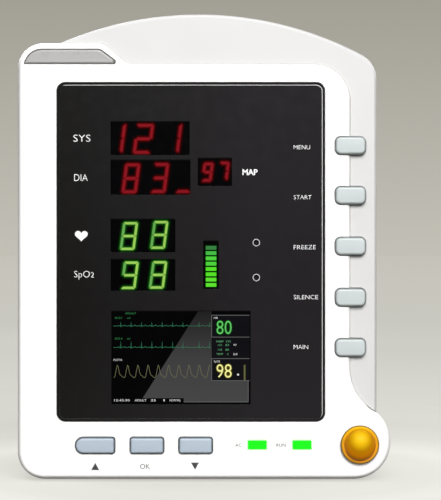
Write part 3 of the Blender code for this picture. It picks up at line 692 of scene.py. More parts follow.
TRAY = surface("tray_plastic", (176, 180, 184), 0.5, relief=0.2, grain=1500)
BLUE = surface("blue_plastic", (44, 96, 172), 0.38, relief=0.08)
WRAP = surface("battery_wrap", (40, 70, 138), 0.3, relief=0.2, grain=250, coat=0.4)
PRINT = surface("white_print", (240, 240, 240), 0.5, relief=0.05)
DARK_PRINT = surface("dark_print", (52, 52, 53), 0.5, relief=0.05)
GREY_PRINT = surface("grey_print", (38, 38, 38), 0.5, relief=0.05)
RED_LIT = lit_surface("red_segments", (139, 22, 32), (8, 1, 1))
GREEN_LIT = lit_surface("green_segments", (158, 208, 92), (2, 6, 2))
TEAL_LIT = lit_surface("teal_segments", (104, 174, 84), (2, 6, 2))
BAR_LIT = [
    lit_surface(f"bar_segments_{i + 1}", colour, (4, 30, 4))
    for i, colour in enumerate(
        ((95, 232, 48), (88, 232, 40), (80, 215, 62), (70, 190, 70), (58, 128, 66))
    )
]
LAMP_LIT = lit_surface("lamp_green", (34, 250, 34), (10, 90, 10))
TRACE_LIT = lit_surface("green_trace", (52, 124, 88))
WAVE_LIT = lit_surface("olive_trace", (112, 110, 80))
SCREEN_GREEN = lit_surface("screen_green", (98, 208, 104))
SCREEN_YELLOW = lit_surface("screen_yellow", (250, 248, 162))
SCREEN_WHITE = lit_surface("screen_white", (100, 100, 100))
SCREEN_DIM = lit_surface("screen_dim_green", (48, 128, 70))
SCREEN_BRIGHT = lit_surface("screen_bright", (225, 225, 222))
PALE_GREEN = lit_surface("screen_pale_green", (92, 160, 112))
SCREEN_GREEN_GLOW = lit_surface("screen_green_glow", (4, 62, 8), (2, 4, 2))
SCREEN_YELLOW_GLOW = lit_surface("screen_yellow_glow", (82, 76, 4), (4, 4, 2))
COLUMN_LIT = lit_surface("column_olive", (98, 98, 58))
SCREEN_FIELD = lit_surface("screen_field", (17, 17, 21), (2, 2, 2))
RED_GLOW = lit_surface("red_glow", (86, 12, 15), (4, 1, 1))
RED_WIDE_GLOW = lit_surface("red_wide_glow", (44, 2, 2), (4, 1, 1))
GREEN_GLOW = lit_surface("green_glow", (30, 96, 22), (1, 4, 1))
GREEN_WIDE_GLOW = lit_surface("green_wide_glow", (2, 40, 3), (1, 4, 1))
RING_GREY = surface("ring_grey", (180, 180, 180), 0.4, relief=0.05)
SHEEN = sheen_surface()
BEVEL = bevel_surface()
SPILL = surface("light_spill", (196, 246, 190), 0.5, relief=0.02)


# Placing pieces ---------------------------------------------------------------


def paint(obj, material):
    obj.data.materials.clear()
    obj.data.materials.append(material)


def add(obj, material, body="root", stands_for=()):
    """Finishes a new piece: its material, its body and the CAD nodes that it shows."""
    paint(obj, material)
    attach(obj, body)
    if stands_for:
        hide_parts(*stands_for)
    return obj


ACROSS = {"X": (1, 2), "Y": (0, 2), "Z": (0, 1)}


def outline_between(low, high, radius, axis="Y", gap=0.0):
    """A box's rounded outline across an axis, a gap outside it."""
    a, b = ACROSS[axis]
    return box_outline(low[a] - gap, low[b] - gap, high[a] + gap, high[b] + gap, radius)


def node_outline(node, radius, axis="Y", gap=0.0):
    return outline_between(*node_box(node), radius, axis, gap)


def middle_of(node):
    """A node's lowest and highest corner and its middle, mm."""
    low, high = node_box(node)
    return low, high, (low + high) / 2


def straight(name, outline, start, end, axis="Y"):
    """A body with square edges."""
    return loft(name, outline, [(0, start), (0, end)], axis)


def rod(name, x, z, radius, front, back):
    """A plain round bar along Y, for posts and bores."""
    return straight(name + "_rod", circle(x, z, radius), front, back)


def add_smooth(obj, material, body="root", stands_for=(), angle=32):
    return add(smooth(obj, angle), material, body, stands_for)


def screw_place(name):
    middle = middle_of(name)[2]
    return middle.x, middle.z


# Front frame ------------------------------------------------------------------

FLANGE = 1.0  # how far a key's hidden flange reaches past its cap


def outline_of_key(name):
    """The cap's outline: its node without the hidden flange."""
    if name == "up_key":
        return up_key_outline
    return node_outline(name, 3.0 if name in SIDE_KEYS else 1.5, gap=-FLANGE)


def up_key_outline(grow):
    """The first bottom key has a fully round left end."""
    low, high = node_box("up_key")
    left, bottom = low.x + FLANGE - grow, low.z + FLANGE - grow
    right, top = high.x - FLANGE + grow, high.z - FLANGE + grow
    large = (top - bottom) / 2 - 0.05
    small = max(1.5 + grow, 0.05)
    return rounded(
        [(left, bottom, large), (right, bottom, small), (right, top, small), (left, top, large)]
    )


def grown(outline, amount):
    return lambda grow: outline(grow + amount)


def key_cutters(names, front):
    return [
        loft(name + "_hole", grown(outline_of_key(name), GAP), flared(front, FRONT + 7, 0.25))
        for name in names
    ]


TIGHT_EDGE = (2.2, 2.4)  # width and depth of the frame's round edge above and beside the strip
BROAD_EDGE = (2.8, 6.5)  # and below
INNER_SHOULDER = 24.5  # the hollow's corner, which stays inside the rear shell's dome


def edge_ring(depth):
    """The frame's outline at a depth behind its face, inside its round edge."""

    def ring(width, full_depth):
        cosine = max(0.0, 1 - depth / full_depth)
        return bezel_outline(-width * (1 - math.sqrt(1 - cosine**2)))

    points = []
    pairs = zip(ring(*TIGHT_EDGE), ring(*BROAD_EDGE), bezel_outline(0), bezel_outline(1))
    for tight, broad, here, outside in pairs:
        normal = Vector(outside) - Vector(here)
        beside = abs(normal.x) if normal.x < 0 or here[1] < 40 else 0.0
        share = min(1.0, max(0.0, -normal.y, beside))
        points.append(tuple(Vector(tight).lerp(Vector(broad), share)))
    return points


def make_bezel():
    rings = [
        (edge_ring(BROAD_EDGE[1] * deep), FRONT + BROAD_EDGE[1] * deep) for _, deep in quarter(12)
    ]
    rings += [(bezel_outline(0), BACK_OF_BEZEL - 0.5), (bezel_outline(-0.5), BACK_OF_BEZEL)]
    bm = bmesh.new()
    add_loft(bm, rings)
    bezel = from_bmesh("bezel", bm)
    ledge_back = FRONT + 6.5
    behind = BACK_OF_BEZEL + 1

    def inner(grow):
        return bezel_outline(grow, INNER_SHOULDER)

    hollow = loft("hollow", inner, [(-WALL, ledge_back), (-WALL, behind)])
    front_hollow = loft(
        "front_hollow", inner, [(-WALL, FRONT + WALL + 1), (-WALL, ledge_back + 0.5)]
    )
    skirt = outline_between(PANEL_LOW, PANEL_HIGH, 6.5, gap=GAP + 2)
    cut(front_hollow, straight("skirt", skirt, FRONT, ledge_back + 2))
    recess = outline_between(PANEL_LOW, PANEL_HIGH, PANEL_CORNER + GAP, gap=GAP)
    opening = outline_between(PANEL_LOW, PANEL_HIGH, 1.5, gap=GAP - 4)
    key_low, key_high = node_box("side_key_mat")
    notch = box_outline(BEZEL_RIGHT - 6, key_low.z - 0.7, BEZEL_RIGHT + 2, key_high.z + 1.2, 0.1)
    cutters = [
        hollow,
        front_hollow,
        loft("recess", recess, flared(FRONT, FRONT + 4.9, 0.35)),
        straight("opening", opening, FRONT, behind),
        straight("notch", notch, FRONT + 3.4, behind),
        loft("lens_slot", grown(lens_outline, 0.25), flared(FRONT, FRONT + 5, 0.2)),
        rod("knob_hole", *screw_place("nav_knob"), 4.2, FRONT - 1, FRONT + 5),
    ]
    cutters += key_cutters(SIDE_KEYS + BOTTOM_KEYS, FRONT)
    cutters += [
        loft(name + "_hole", grown(node_outline(name, 0.5), 0.15), flared(FRONT, FRONT + 5, 0.2))
        for name in LIGHTS
    ]
    cut(bezel, *cutters)
    posts = [rod(name, *screw_place(name), POST, FRONT + 2, BACK_OF_BEZEL) for name in SCREWS]
    unite(bezel, *posts)
    bores = [rod(name, *screw_place(name), SCREW_BORE, FRONT + 5, behind) for name in SCREWS]
    cut(bezel, *bores)
    add_smooth(bezel, WHITE, stands_for=["front_bezel"])


# Rear housing -----------------------------------------------------------------

BACK = SHELL_HIGH.y
SENSOR_LOW, SENSOR_HIGH = node_box("sensor_panel")
TRAY_LOW, TRAY_HIGH = node_box("rear_panel")
DOOR_LOW, DOOR_HIGH = node_box("battery_door")


def slot_cutter(name, x, z, width, height):
    """A vent slot with round ends through the back wall."""
    outline = centred(x, z, width, height, height / 2 - 0.05)
    return loft(name, outline, flared(BACK, BACK - 4, 0.3))


def make_housing():
    seat = BACK_OF_BEZEL + GAP
    rim = round_rim(SHELL_LOW.y, GRIP_BACK, 2.4, 3.2, 8)
    rim[:9] = [(1.9 * (out - 1), SHELL_LOW.y + 5.5 * deep) for out, deep in quarter(8)]
    housing = loft("housing_shell", shell_outline, rim)
    body = loft("body", body_outline, round_rim(seat + 6, BACK, 0.5, 7.0, 8))
    lobe_x, lobe_z, lobe_radius = LOBE
    depth = 30.0
    taper = lobe_radius - 1.5 - (SHELL_RIGHT - lobe_x - 0.6)
    tenths = [i / 10 for i in range(11)]
    fairing = [(-taper * (3 * t * t - 2 * t**3), seat + depth * t) for t in tenths]
    unite(housing, body, loft("fairing", circle(lobe_x, lobe_z, lobe_radius - 1.5, 5), fairing))
    left, bottom, right, top = GRIP_POCKET
    corners = ((SHELL_LOW.x, 0, SHELL_LOW.z), (SHELL_RIGHT, 0, SHELL_TOP))
    inner = outline_between(*corners, 8, gap=-WALL)
    strip = box_outline(BEZEL_RIGHT - 11.8, 34, SHELL_RIGHT - WALL, SHELL_TOP - 3, 4)
    pocket = box_outline(left + 0.5, bottom + 0.5, right - 0.5, top, 6)

    def dome(grow):
        return shell_outline(grow - WALL, DOME_FOOT + WALL)

    cutters = [
        loft("seat", grown(bezel_outline, 0.12), [(0, SHELL_LOW.y - 3), (0, seat)]),
        straight("inside", inner, BACK_OF_BEZEL - 1, BACK - WALL),
        straight("strip", strip, SHELL_LOW.y + WALL, BACK_OF_BEZEL + 2),
        straight("grip", grip_outline, GRIP_FRONT, GRIP_BACK - WALL),
        straight("dome", dome, SHELL_LOW.y + WALL, seat),
        loft("pocket", pocket, flared(GRIP_BACK, GRIP_BACK - WALL - 1, 1.4, 6)),
    ]
    cutters += key_cutters(SIDE_KEYS, SHELL_LOW.y)
    cut(housing, *cutters)
    places = {name: screw_place(name) for name in SCREWS}
    unite(housing, *[rod(name, *at, TUBE, seat, BACK - 1) for name, at in places.items()])
    wells = [rod(name, *at, SCREW_BORE, -41, WELL_FLOOR + 12) for name, at in places.items()]
    wide = flared(BACK, WELL_FLOOR, 0.6)
    wells += [loft(name + "_well", circle(*at, SCREW_WELL), wide) for name, at in places.items()]
    door = outline_between(DOOR_LOW, DOOR_HIGH, 0.4, "X", GAP)
    sensor = outline_between(SENSOR_LOW, SENSOR_HIGH, 5, "X", GAP)
    tray = outline_between(TRAY_LOW, TRAY_HIGH, 4, gap=GAP)
    openings = [
        loft("sensor", sensor, flared(SHELL_LOW.x, SHELL_LOW.x + 5, 0.5), "X"),
        loft("tray", tray, flared(BACK, BACK - 5, 0.5)),
        loft("door", door, flared(SHELL_RIGHT, SHELL_RIGHT - 5, 0.25), "X"),
    ]
    vents = [slot_cutter(f"vent_{i}", -3, 178 + 4 * i, 84, 1.8) for i in range(6)]
    vents += [slot_cutter(f"sound_slot_{i}", 62, 135 + 6 * i, 28, 2.2) for i in range(5)]
    seats = []
    for i in range(1, 5):
        low, high, middle = middle_of(f"foot_{i}")
        outline = circle(middle.x, middle.y, (high.x - low.x) / 2 + GAP)
        seats.append(straight(f"seat_{i}", outline, SHELL_LOW.z - 1, SHELL_LOW.z + 1, "Z"))
    cut(housing, *wells, *openings, *vents, *seats)
    add_smooth(housing, GREY, stands_for=["rear_housing"])


# Window and displays ----------------------------------------------------------

WINDOW_FRONT = PANEL_LOW.y
PRINTED = WINDOW_FRONT + 0.01  # lettering stands in the surface and 0.04 mm proud of it
RINGS = ((27.7, 126.6), (27.7, 108.1))


def make_window():
    low, high = PANEL_LOW, PANEL_HIGH
    outline = outline_between(low, high, PANEL_CORNER)
    rim = [(-0.1, high.y), (0, high.y - 0.1), (0, low.y + 0.75), (-0.1, low.y + 0.65)]
    rim += [(-0.85, low.y + 0.65), (-1.62, low.y + 0.03), (-1.65, low.y)]
    window = loft("window_pane", outline, rim)
    bevel = [(-1.05, low.y + 0.9), (-1.05, low.y + 0.4), (-1.42, low.y - 0.01)]
    bevel += [(-1.5, low.y - 0.01), (-1.5, low.y + 0.3)]
    # The window's bevel ring, whose reflections are painted by the way it faces.
    add_smooth(ring_loft("window_edge", outline, bevel), BEVEL, angle=20)
    cutters = []
    for name in DISPLAYS:
        opening = grown(node_outline(name, 0.3), 0.15)
        cutters.append(loft(name + "_opening", opening, flared(low.y, high.y + 1, 0.03)))
    for x, z in RINGS:
        cutters.append(rod("ring", x, z, 1.45, low.y - 1, low.y + 1.6))
    cut(window, *cutters)
    add_smooth(window, PANEL, stands_for=["display_window"])
    for i, (x, z) in enumerate(RINGS):
        rim = round_rim(PRINTED - 0.12, PRINTED, 0.08, 0)
        ring = loft(f"sensor_ring_{i + 1}", circle(x, z, 2.0), rim)
        cut(ring, rod("ring_hole", x, z, 1.52, PRINTED - 1, PRINTED + 1))
        add_smooth(ring, RING_GREY)


SEGMENTS_OF = {"0": "abcdef", "1": "bc", "2": "abdeg", "3": "abcdg", "7": "abc", "8": "abcdefg"}
SEGMENTS_OF.update({"9": "abcdfg", "_": "d"})
SLANT = math.tan(math.radians(7.5))


def segment(letter, width, height, stroke):
    """One bar of a seven-segment digit: mitred at its corners, pointed at the middle."""
    gap = 0.11 * stroke
    half = stroke / 2
    bevel = half / 2
    middle = height / 2
    inner, outer = stroke + gap, width - stroke - gap
    if letter == "g":
        return [(half + gap, middle), (inner, middle - half), (outer, middle - half)] + [
            (width - half - gap, middle),
            (outer, middle + half),
            (inner, middle + half),
        ]
    if letter in "ad":
        points = [
            (half + gap, height),
            (width - half - gap, height),
            (width - bevel - gap, height - bevel),
            (outer, height - stroke),
            (inner, height - stroke),
            (bevel + gap, height - bevel),
        ]
    else:
        points = [
            (0, height - half - gap),
            (bevel, height - bevel - gap),
            (stroke, height - stroke - gap),
            (stroke, middle + half + gap),
            (half, middle + gap),
            (0, middle + gap + 0.1 * stroke),
        ]
    if letter in "bc":
        points = [(width - x, z) for x, z in points]
    if letter in "cde":
        points = [(x, height - z) for x, z in points]
    return points


def swollen(points, amount):
    """A convex outline grown by an amount, with round corners."""
    centre = Vector((sum(x for x, _ in points), sum(z for _, z in points))) / len(points)
    grown_points = []
    for i, point in enumerate(points):
        here = Vector(point)
        before = (here - Vector(points[i - 1])).normalized()
        after = (Vector(points[(i + 1) % len(points)]) - here).normalized()
        for edge in (before, before + after, after):
            normal = Vector((edge.y, -edge.x)).normalized()
            if normal.dot(here - centre) < 0:
                normal = -normal
            grown_points.append(tuple(here + normal * amount))
    return grown_points


def digit(character, left, bottom, width, height, stroke, grow=0.0, some="abcdefg"):
    """Lit bars of a slanted digit, whose lower left corner is given."""
    shapes = []
    for letter in SEGMENTS_OF[character]:
        if letter not in some:
            continue
        points = segment(letter, width, height, stroke)
        if grow:
            points = swollen(points, grow)
        shapes.append([(left + x + z * SLANT, bottom + z) for x, z in points])
    return shapes


def make_module(name):
    """A display's case, with a filter over its face."""
    low, high = node_box(name)
    case = loft(name + "_case", node_outline(name, 0.3), round_rim(low.y, high.y, 0.15, 0.3, 3))
    add_smooth(case, FILTER, stands_for=[name])
    return low, high


def staggered(name, shapes, front, step, depth=0.05):
    """Thin plates, each a little in front of the one before, so that none share a face."""
    bm = bmesh.new()
    for i, points in enumerate(shapes):
        face = front - i * step
        add_loft(bm, [(points, face), (points, face + depth)])
    return from_bmesh(name, bm)


def make_digits(name, slot, materials, glow, characters, width, height, stroke):
    """characters: (character, left, bottom) from the lower left corner of the module's face."""
    low, _ = make_module(name)
    stem = name.replace("_display", "")
    lit, left_lit, halo, wide_halo = [], [], [], []
    for character, left, bottom in characters:
        at = (low.x + left, low.z + bottom, width, height, stroke)
        lit += digit(character, *at, some="abcdg")
        left_lit += digit(character, *at, some="ef")
        halo += digit(character, *at, 0.5)
        wide_halo += digit(character, *at, 1.2)
    front = low.y
    add(staggered(stem + "_wide_glow", wide_halo, front - 0.015, 0.001), glow[1])
    add(staggered(stem + "_glow", halo, front - 0.05, 0.001), glow[0])
    for part, shapes, material in (("", lit, materials[0]), ("_left", left_lit, materials[1])):
        if shapes:
            piece = plates(stem + "_digits" + part, shapes, front - 0.12, front - 0.04)
            add(piece, material)


def make_displays():
    red = ("red_display", (RED_LIT, RED_LIT), (RED_GLOW, RED_WIDE_GLOW))
    green = ("green_display", (GREEN_LIT, TEAL_LIT), (GREEN_GLOW, GREEN_WIDE_GLOW))
    digits = [("1", -3.2, 0.9), ("2", 11.6, 0.6), ("1", 26.6, 0.9)]
    make_digits("sys_display", *red, digits, 9.2, 15.7, 1.4)
    digits = [("8", 5.6, 0.75), ("3", 20.9, 0.95), ("_", 34.2, 0.95)]
    make_digits("dia_display", *red, digits, 7.9, 15.7, 1.4)
    make_digits("map_display", *red, [("9", 1.7, 2.2), ("7", 10.2, 2.7)], 5.3, 10.0, 1.35)
    make_digits("pulse_display", *green, [("8", 4.6, 1.1), ("8", 20.7, 1.7)], 7.9, 14.8, 1.25)
    make_digits("spo2_display", *green, [("9", 4.9, 0.8), ("8", 20.0, 1.0)], 7.9, 14.6, 1.25)
    low, high = make_module("level_bargraph")
    middle = (low.x + high.x) / 2 + 0.05
    pitch, count = 2.81, 8
    bottom = low.z + 2.0
    glow = bar(middle, bottom + pitch * (count - 1) / 2, 6.5, pitch * count + 0.2)
    add(plates("bar_glow", [glow], low.y - 0.03, low.y + 0.02), GREEN_WIDE_GLOW)
    for i in range(count):
        shape = centred(middle, bottom + pitch * i, 5.6, 2.0, 0.25)(0)
        piece = plates(f"level_bar_{i + 1}", [shape], low.y - 0.12, low.y - 0.01)
        add(piece, BAR_LIT[min(i // 2, 3)] if i < 7 else BAR_LIT[4])


# The colour screen. Places on it are measured right and down from its upper left corner.


def make_screen():
    low, high = make_module("lcd_module")
    face = low.y

    def at(across, down):
        return low.x + across, high.z - down

    def show(piece, material):
        add(piece, material)

    def patch(name, corners, material, proud):
        points = [at(*corner) for corner in corners]
        show(plates(name, [points], face - proud, face - proud + 0.03), material)

    edge, right, bottom = 53.0, 72.4, 48.3
    # The sheen is a painted reflection: a paler plate on the screen's face, behind the traces and
    # words.
    sheen = [(45.9, 0.2), (edge, 0.2), (edge, 37), (right, 37), (right, bottom), (38.2, bottom)]
    patch("screen_sheen", sheen + [(38.2, 46.3), (16.4, 46.3)], SHEEN, 0.02)
    for i, (first, last) in enumerate(((2.4, 13.8), (14.0, 25.2), (25.5, 36.9))):
        field = rectangle(edge + 0.2, first, 73.1, last)
        patch(f"screen_field_{i + 1}", field, SCREEN_FIELD, 0.03)

    def lines(name, paths, width, material, proud=0.06):
        shapes = [ribbon([at(*point) for point in path], width) for path in paths]
        show(staggered(name, shapes, face - proud, 0.001, 0.04), material)

    frames = [[(edge, down), (73.1, down)] for down in (2.3, 13.9, 25.3, 37.0)]
    frames += [[(edge, first), (edge, last)] for first, last in ((2.3, 13.9), (25.3, 37.0))]
    frames += [[(right, 37.0), (right, bottom)], [(38.2, bottom), (right, bottom)]]
    lines("screen_frames", frames, 0.32, SCREEN_WHITE)
    beats = [4.8 + 5.5 * i for i in range(7)] + [46.4, 51.9]
    for name, base, spike in (("upper_trace", 8.0, 2.0), ("lower_trace", 19.4, 3.3)):
        path = [(0.8, base)]
        for beat in beats:
            path += [(beat - 1.6, base), (beat - 1.1, base - 0.35), (beat - 0.6, base)]
            path += [(beat - 0.2, base + 0.25), (beat, base - spike), (beat + 0.22, base + 0.3)]
            path.append((beat + 0.5, base))
            if beat + 3.2 < edge - 0.5:
                path += [(beat + 1.5, base - 0.1), (beat + 2.0, base - 0.55), (beat + 2.6, base)]
        path.append((edge - 0.6, base))
        lines(name, [path], 0.2, TRACE_LIT)
    period, top, valley = 5.43, 28.8, 35.4
    shape = ((0, 1.0), (0.1, 0.9), (0.22, 0.35), (0.32, 0), (0.4, 0.08), (0.5, 0.55))
    shape += ((0.6, 0.78), (0.72, 0.84), (0.86, 0.96))
    starts = [1.2 + period * i for i in range(10)]
    pulse = [
        (start + period * t, top + (valley - top) * drop) for start in starts for t, drop in shape
    ]
    pulse = [point for point in pulse if point[0] < edge - 0.6]
    lines("pulse_wave", [pulse], 0.26, WAVE_LIT)
    lines("level_column", [[(70.5, 28.6), (70.5, 36.8)]], 0.9, COLUMN_LIT)

    def words(name, entries, height, material, bold=0.0):
        entries = [(text, *at(left, down), height, width) for text, left, down, width in entries]
        show(lettering(name, entries, face - 0.06, bold), material)

    names = [("ADULT", 7.1, 1.3, 5.8), ("ECG I", 1.8, 3.7, 3.6), ("x1", 8.2, 3.7, 1.5)]
    names += [("ECG II", 1.8, 14.7, 3.8), ("x1", 8.2, 14.7, 1.5)]
    words("trace_names", names, 0.95, SCREEN_DIM)
    names = [("PLETH", 1.0, 26.0, 4.4), ("HR", 54.2, 3.7, 2.2), ("SpO2", 54.2, 26.8, 3.2)]
    names += [("97", 64.6, 18.1, 1.6), ("36.8", 64.4, 22.9, 2.2)]
    words("reading_names", names, 1.0, SCREEN_BRIGHT)
    names = [("NIBP", 55.5, 16.2, 3.9), ("SYS", 60.6, 16.2, 2.6), ("121", 56.4, 18.1, 2.0)]
    names += [("83", 60.3, 18.1, 1.9), ("118", 56.4, 20.6, 2.0), ("80", 60.3, 20.6, 1.9)]
    names += [("TEMP", 55.5, 22.9, 3.6), ("C", 61.2, 22.9, 0.9)]
    words("pressure_list", names, 0.95, PALE_GREEN)
    names = [("12:45:30", 1.3, 47.4, 8.2), ("ADULT", 12.2, 47.4, 6.2), ("25", 20.8, 47.4, 2.6)]
    names += [("1", 27.5, 47.4, 0.6), ("NORMAL", 30.7, 47.4, 6.0)]
    words("status_line", names, 1.1, SCREEN_BRIGHT)
    words("heart_rate_glow", [("80", 55.2, 8.75, 8.8)], 7.7, SCREEN_GREEN_GLOW, 0.06)
    words("oxygen_glow", [("98", 55.2, 31.85, 8.8)], 7.7, SCREEN_YELLOW_GLOW, 0.06)
    readings = (("heart_rate", "80", 8.75, SCREEN_GREEN), ("oxygen", "98", 31.85, SCREEN_YELLOW))
    for name, text, down, material in readings:
        entry = (text, *at(55.6, down), 7.0, 8.0)
        show(lettering(name, [entry], face - 0.1, -0.006), material)
    dot = arc(at(67.0, 33.8), 0.55, 0, 330, 30)
    show(plates("beat_dot", [dot], face - 0.1, face - 0.04), SCREEN_BRIGHT)


def make_labels():
    names = [("SYS", -69.3, 182.0, 3.6, 9.0), ("DIA", -68.9, 161.1, 3.55, 7.2)]
    names += [("SpO", -68.9, 109.9, 3.4, 8.3), ("2", -60.2, 109.5, 2.7, 1.9)]
    add(lettering("window_labels", names, WINDOW_FRONT, -0.012), PRINT)
    names = ("MENU", "START", "FREEZE", "SILENCE", "MAIN")
    heights = (177.2, 150.7, 124.2, 97.7, 71.3)
    widths = (8.7, 9.5, 11.8, 12.9, 7.7)
    names = [(text, 47.5, z, 2.15, width) for text, z, width in zip(names, heights, widths)]
    add(lettering("key_labels", names, WINDOW_FRONT, -0.008), PRINT)
    names = [("MAP", 20.3, 164.0, 3.2, 8.1)]
    add(lettering("pressure_label", names, WINDOW_FRONT, 0.03), PRINT)
    heart = []
    for i in range(40):
        t = 2 * math.pi * i / 40
        x = 16 * math.sin(t) ** 3
        z = 13 * math.cos(t) - 5 * math.cos(2 * t) - 2 * math.cos(3 * t) - math.cos(4 * t)
        heart.append((-65.1 + x * 0.215, 130.4 + z * 0.2))
    add(plates("heart_mark", [heart], PRINTED - 0.04, PRINTED), PRINT)
    face = FRONT + 0.01
    up = [(-59.8, 6.1), (-55.6, 6.1), (-57.7, 9.9)]
    down = [(-6.9, 10.0), (-4.8, 6.3), (-2.7, 10.0)]
    add(plates("arrow_marks", [up, down], face - 0.05, face), DARK_PRINT)
    names = [("OK", -33.9, 8.0, 2.6, 5.2)]
    add(lettering("ok_label", names, FRONT), DARK_PRINT)
    names = [("AC", 16.6, 19.3, 1.6, 3.3), ("RUN", 38.3, 19.3, 1.6, 4.9)]
    add(lettering("light_labels", names, FRONT), GREY_PRINT)


# Lens, lights, keys and knob --------------------------------------------------


def make_lens():
    low, high = node_box("alarm_lens")
    bed = straight("lens_bed", grown(lens_outline, -0.05), low.y + 0.55, high.y)
    add_smooth(bed, LENS_EDGE)
    rim = [(0, low.y + 0.9), (0, low.y + 0.2), (-0.12, low.y + 0.06), (-0.4, low.y)]
    rim += [(-1.4, low.y), (-1.6, low.y + 0.04)]
    cover = loft("lens_cover", grown(lens_outline, -0.55), rim)
    add_smooth(cover, LENS, stands_for=["alarm_lens"], angle=20)


def make_lights():
    for name in LIGHTS:
        low, high = node_box(name)
        outline = node_outline(name, 0.5)
        light = loft(name.replace("_pipe", ""), outline, round_rim(low.y, high.y, 0.28, 0.1, 4))
        add_smooth(light, LAMP_LIT, stands_for=[name])
        section = [(0.02, FRONT + 0.3), (0.02, FRONT - 0.02), (0.55, FRONT - 0.02)]
        spill = ring_loft(name.replace("pipe", "spill"), outline, section + [(0.6, FRONT + 0.3)])
        add(spill, SPILL)


def make_key(name, colour, rim):
    """A collar of darker silicone under a lighter cap with a broad round edge. The collar's darker
    colour is partly painted shade: it stands in for the shaded outline round each key.
    """
    low, high = node_box(name)
    outline = outline_of_key(name)
    flange_front = high.y - 0.8
    section = [(-1.1, low.y + 0.7), (-0.62, low.y + 0.72), (-0.3, low.y + 0.86)]
    section += [(-0.09, low.y + 1.12), (0, low.y + 1.5), (0, flange_front)]
    section += [(FLANGE, flange_front), (FLANGE, high.y)]
    add_smooth(loft(name + "_collar", outline, section), rim, name)
    crown = [(-0.58 - 0.9 * (1 - out), low.y + 0.8 * deep) for out, deep in quarter(6)]
    crown = [(-4.2, low.y - 0.06)] + crown + [(-0.58, low.y + 1.6)]
    add_smooth(loft(name + "_cap", outline, crown), colour, name, [name], 40)


def make_keys():
    for name in SIDE_KEYS:
        make_key(name, KEY_GREY, KEY_OUTLINE_SHADE)
    for name in BOTTOM_KEYS:
        make_key(name, KEY_BLUE, BLUE_OUTLINE_SHADE)


def make_knob():
    low, high, middle = middle_of("nav_knob")
    radius = (high.x - low.x) / 2
    back, crown = high.y, low.y
    stem, bore = 3.6, 2.4
    skirt_back = back - 2.0

    def round_piece(name, profile, angle, material, stands_for=()):
        piece = turned(name, profile, (middle.x, middle.z), "Y", 96)
        add_smooth(piece, material, "knob", stands_for, angle)

    profile = [(0, skirt_back - 1.5), (bore, skirt_back - 1.5), (bore, back), (stem, back)]
    profile += [(stem, skirt_back), (radius, skirt_back), (radius + 0.02, skirt_back - 0.3)]
    profile += [(radius - 0.25, skirt_back - 0.75), (radius - 0.6, skirt_back - 0.75)]
    # The base's darker colour is partly painted shade, the dark outline round the knob.
    round_piece("knob_base", profile + [(0, skirt_back - 2.5)], 40, AMBER_OUTLINE_SHADE, ["nav_knob"])
    ring = radius - 0.4
    dome_radius = radius - 2.0
    valley = skirt_back - 1.1
    bead = [(0.0, 0.8), (0.12, 0.3), (0.4, 0.02), (0.85, -0.12), (1.3, -0.05), (1.7, 0.12)]
    profile = [(0, valley + 0.9), (ring - 0.2, valley + 0.9)]
    profile += [(ring - inward, valley + rise) for inward, rise in bead]
    round_piece("knob_ring", profile + [(0, valley + 0.12)], 60, AMBER_RING)
    height = valley - crown - 0.05
    profile = [(0, valley + 0.3), (dome_radius, valley + 0.3)]
    for i in range(15):
        a = math.pi / 2 * i / 15
        across = dome_radius * math.cos(a) ** 0.92
        profile.append((across, valley - 0.05 - height * math.sin(a)))
    round_piece("knob_dome", profile + [(0, crown)], 60, AMBER)


# Side, back and underside -----------------------------------------------------


def make_sensor_side():
    low, high = SENSOR_LOW, SENSOR_HIGH
    y = (low.y + high.y) / 2
    floor = high.x - 2.0
    seat = floor - GAP
    outline = outline_between(low, high, 4.7, "X")
    tray = loft("sensor_tray", outline, round_rim(low.x, high.x, 0.5, 0.3, 4), "X")
    cutters = [loft("recess", grown(outline, -2.7), flared(low.x, floor, 0.9), "X")]

    def socket(name, stands_for, bore, flare, nose, material, slot):
        """A round socket: its bore's flared mouth, its nose's (inward, back) points, a flange
        with a round front and its stem."""
        box_low, box_high, middle = middle_of(stands_for)
        face, back = box_low.x, box_high.x
        radius = (box_high.z - box_low.z) / 2
        profile = [(0, face + 8), (bore, face + 8), (bore, face + flare), (bore + flare, face)]
        profile += [(radius - inward, face + deep) for inward, deep in nose]
        profile += [(radius, seat), (radius - 2, seat), (radius - 2, back), (0, back)]
        piece = turned(name, profile, (y, middle.z), "X")
        add_smooth(piece, material, stands_for=[stands_for])
        hole = circle(y, middle.z, radius - 1.7)
        cutters.append(straight(stands_for, hole, floor - 3, floor + 4, "X"))
        return middle.z, face

    nose = [(1.4, 0), (0.9, 0.5), (0.9, 2.2), (0, 2.8)]
    z, face = socket("oxygen_socket", "spo2_socket", 6.6, 0.4, nose, BLUE, "blue_plastic")
    rim = round_rim(face + 2.4, face + 7.9, 0.3, 0)
    insert = loft("oxygen_insert", circle(y, z, 4.6), rim, "X")
    holes = []
    for i in range(9):
        a = 2 * math.pi * i / 9
        hole = circle(y + 2.6 * math.cos(a), z + 2.6 * math.sin(a), 0.55, 30)
        holes.append(straight(f"pin_{i}", hole, face + 2, face + 5, "X"))
    cut(insert, *holes)
    add_smooth(insert, BLACK)
    nose = [(1.6, 0), (1.0, 0.6), (1.0, 1.6), (1.6, 2.0), (1.6, 2.6), (0.3, 3.0), (0, 3.4)]
    socket("cuff_nozzle", "cuff_socket", 4.6, 0.6, nose, NICKEL, "bright_metal")
    nose = [(1.8, 0), (1.3, 0.5), (1.3, 2.4), (0, 3.0)]
    socket("probe_socket", "temperature_socket", 3.0, 0.5, nose, BLACK, "black_plastic")
    cut(tray, *cutters)
    add_smooth(tray, TRAY, stands_for=["sensor_panel"])


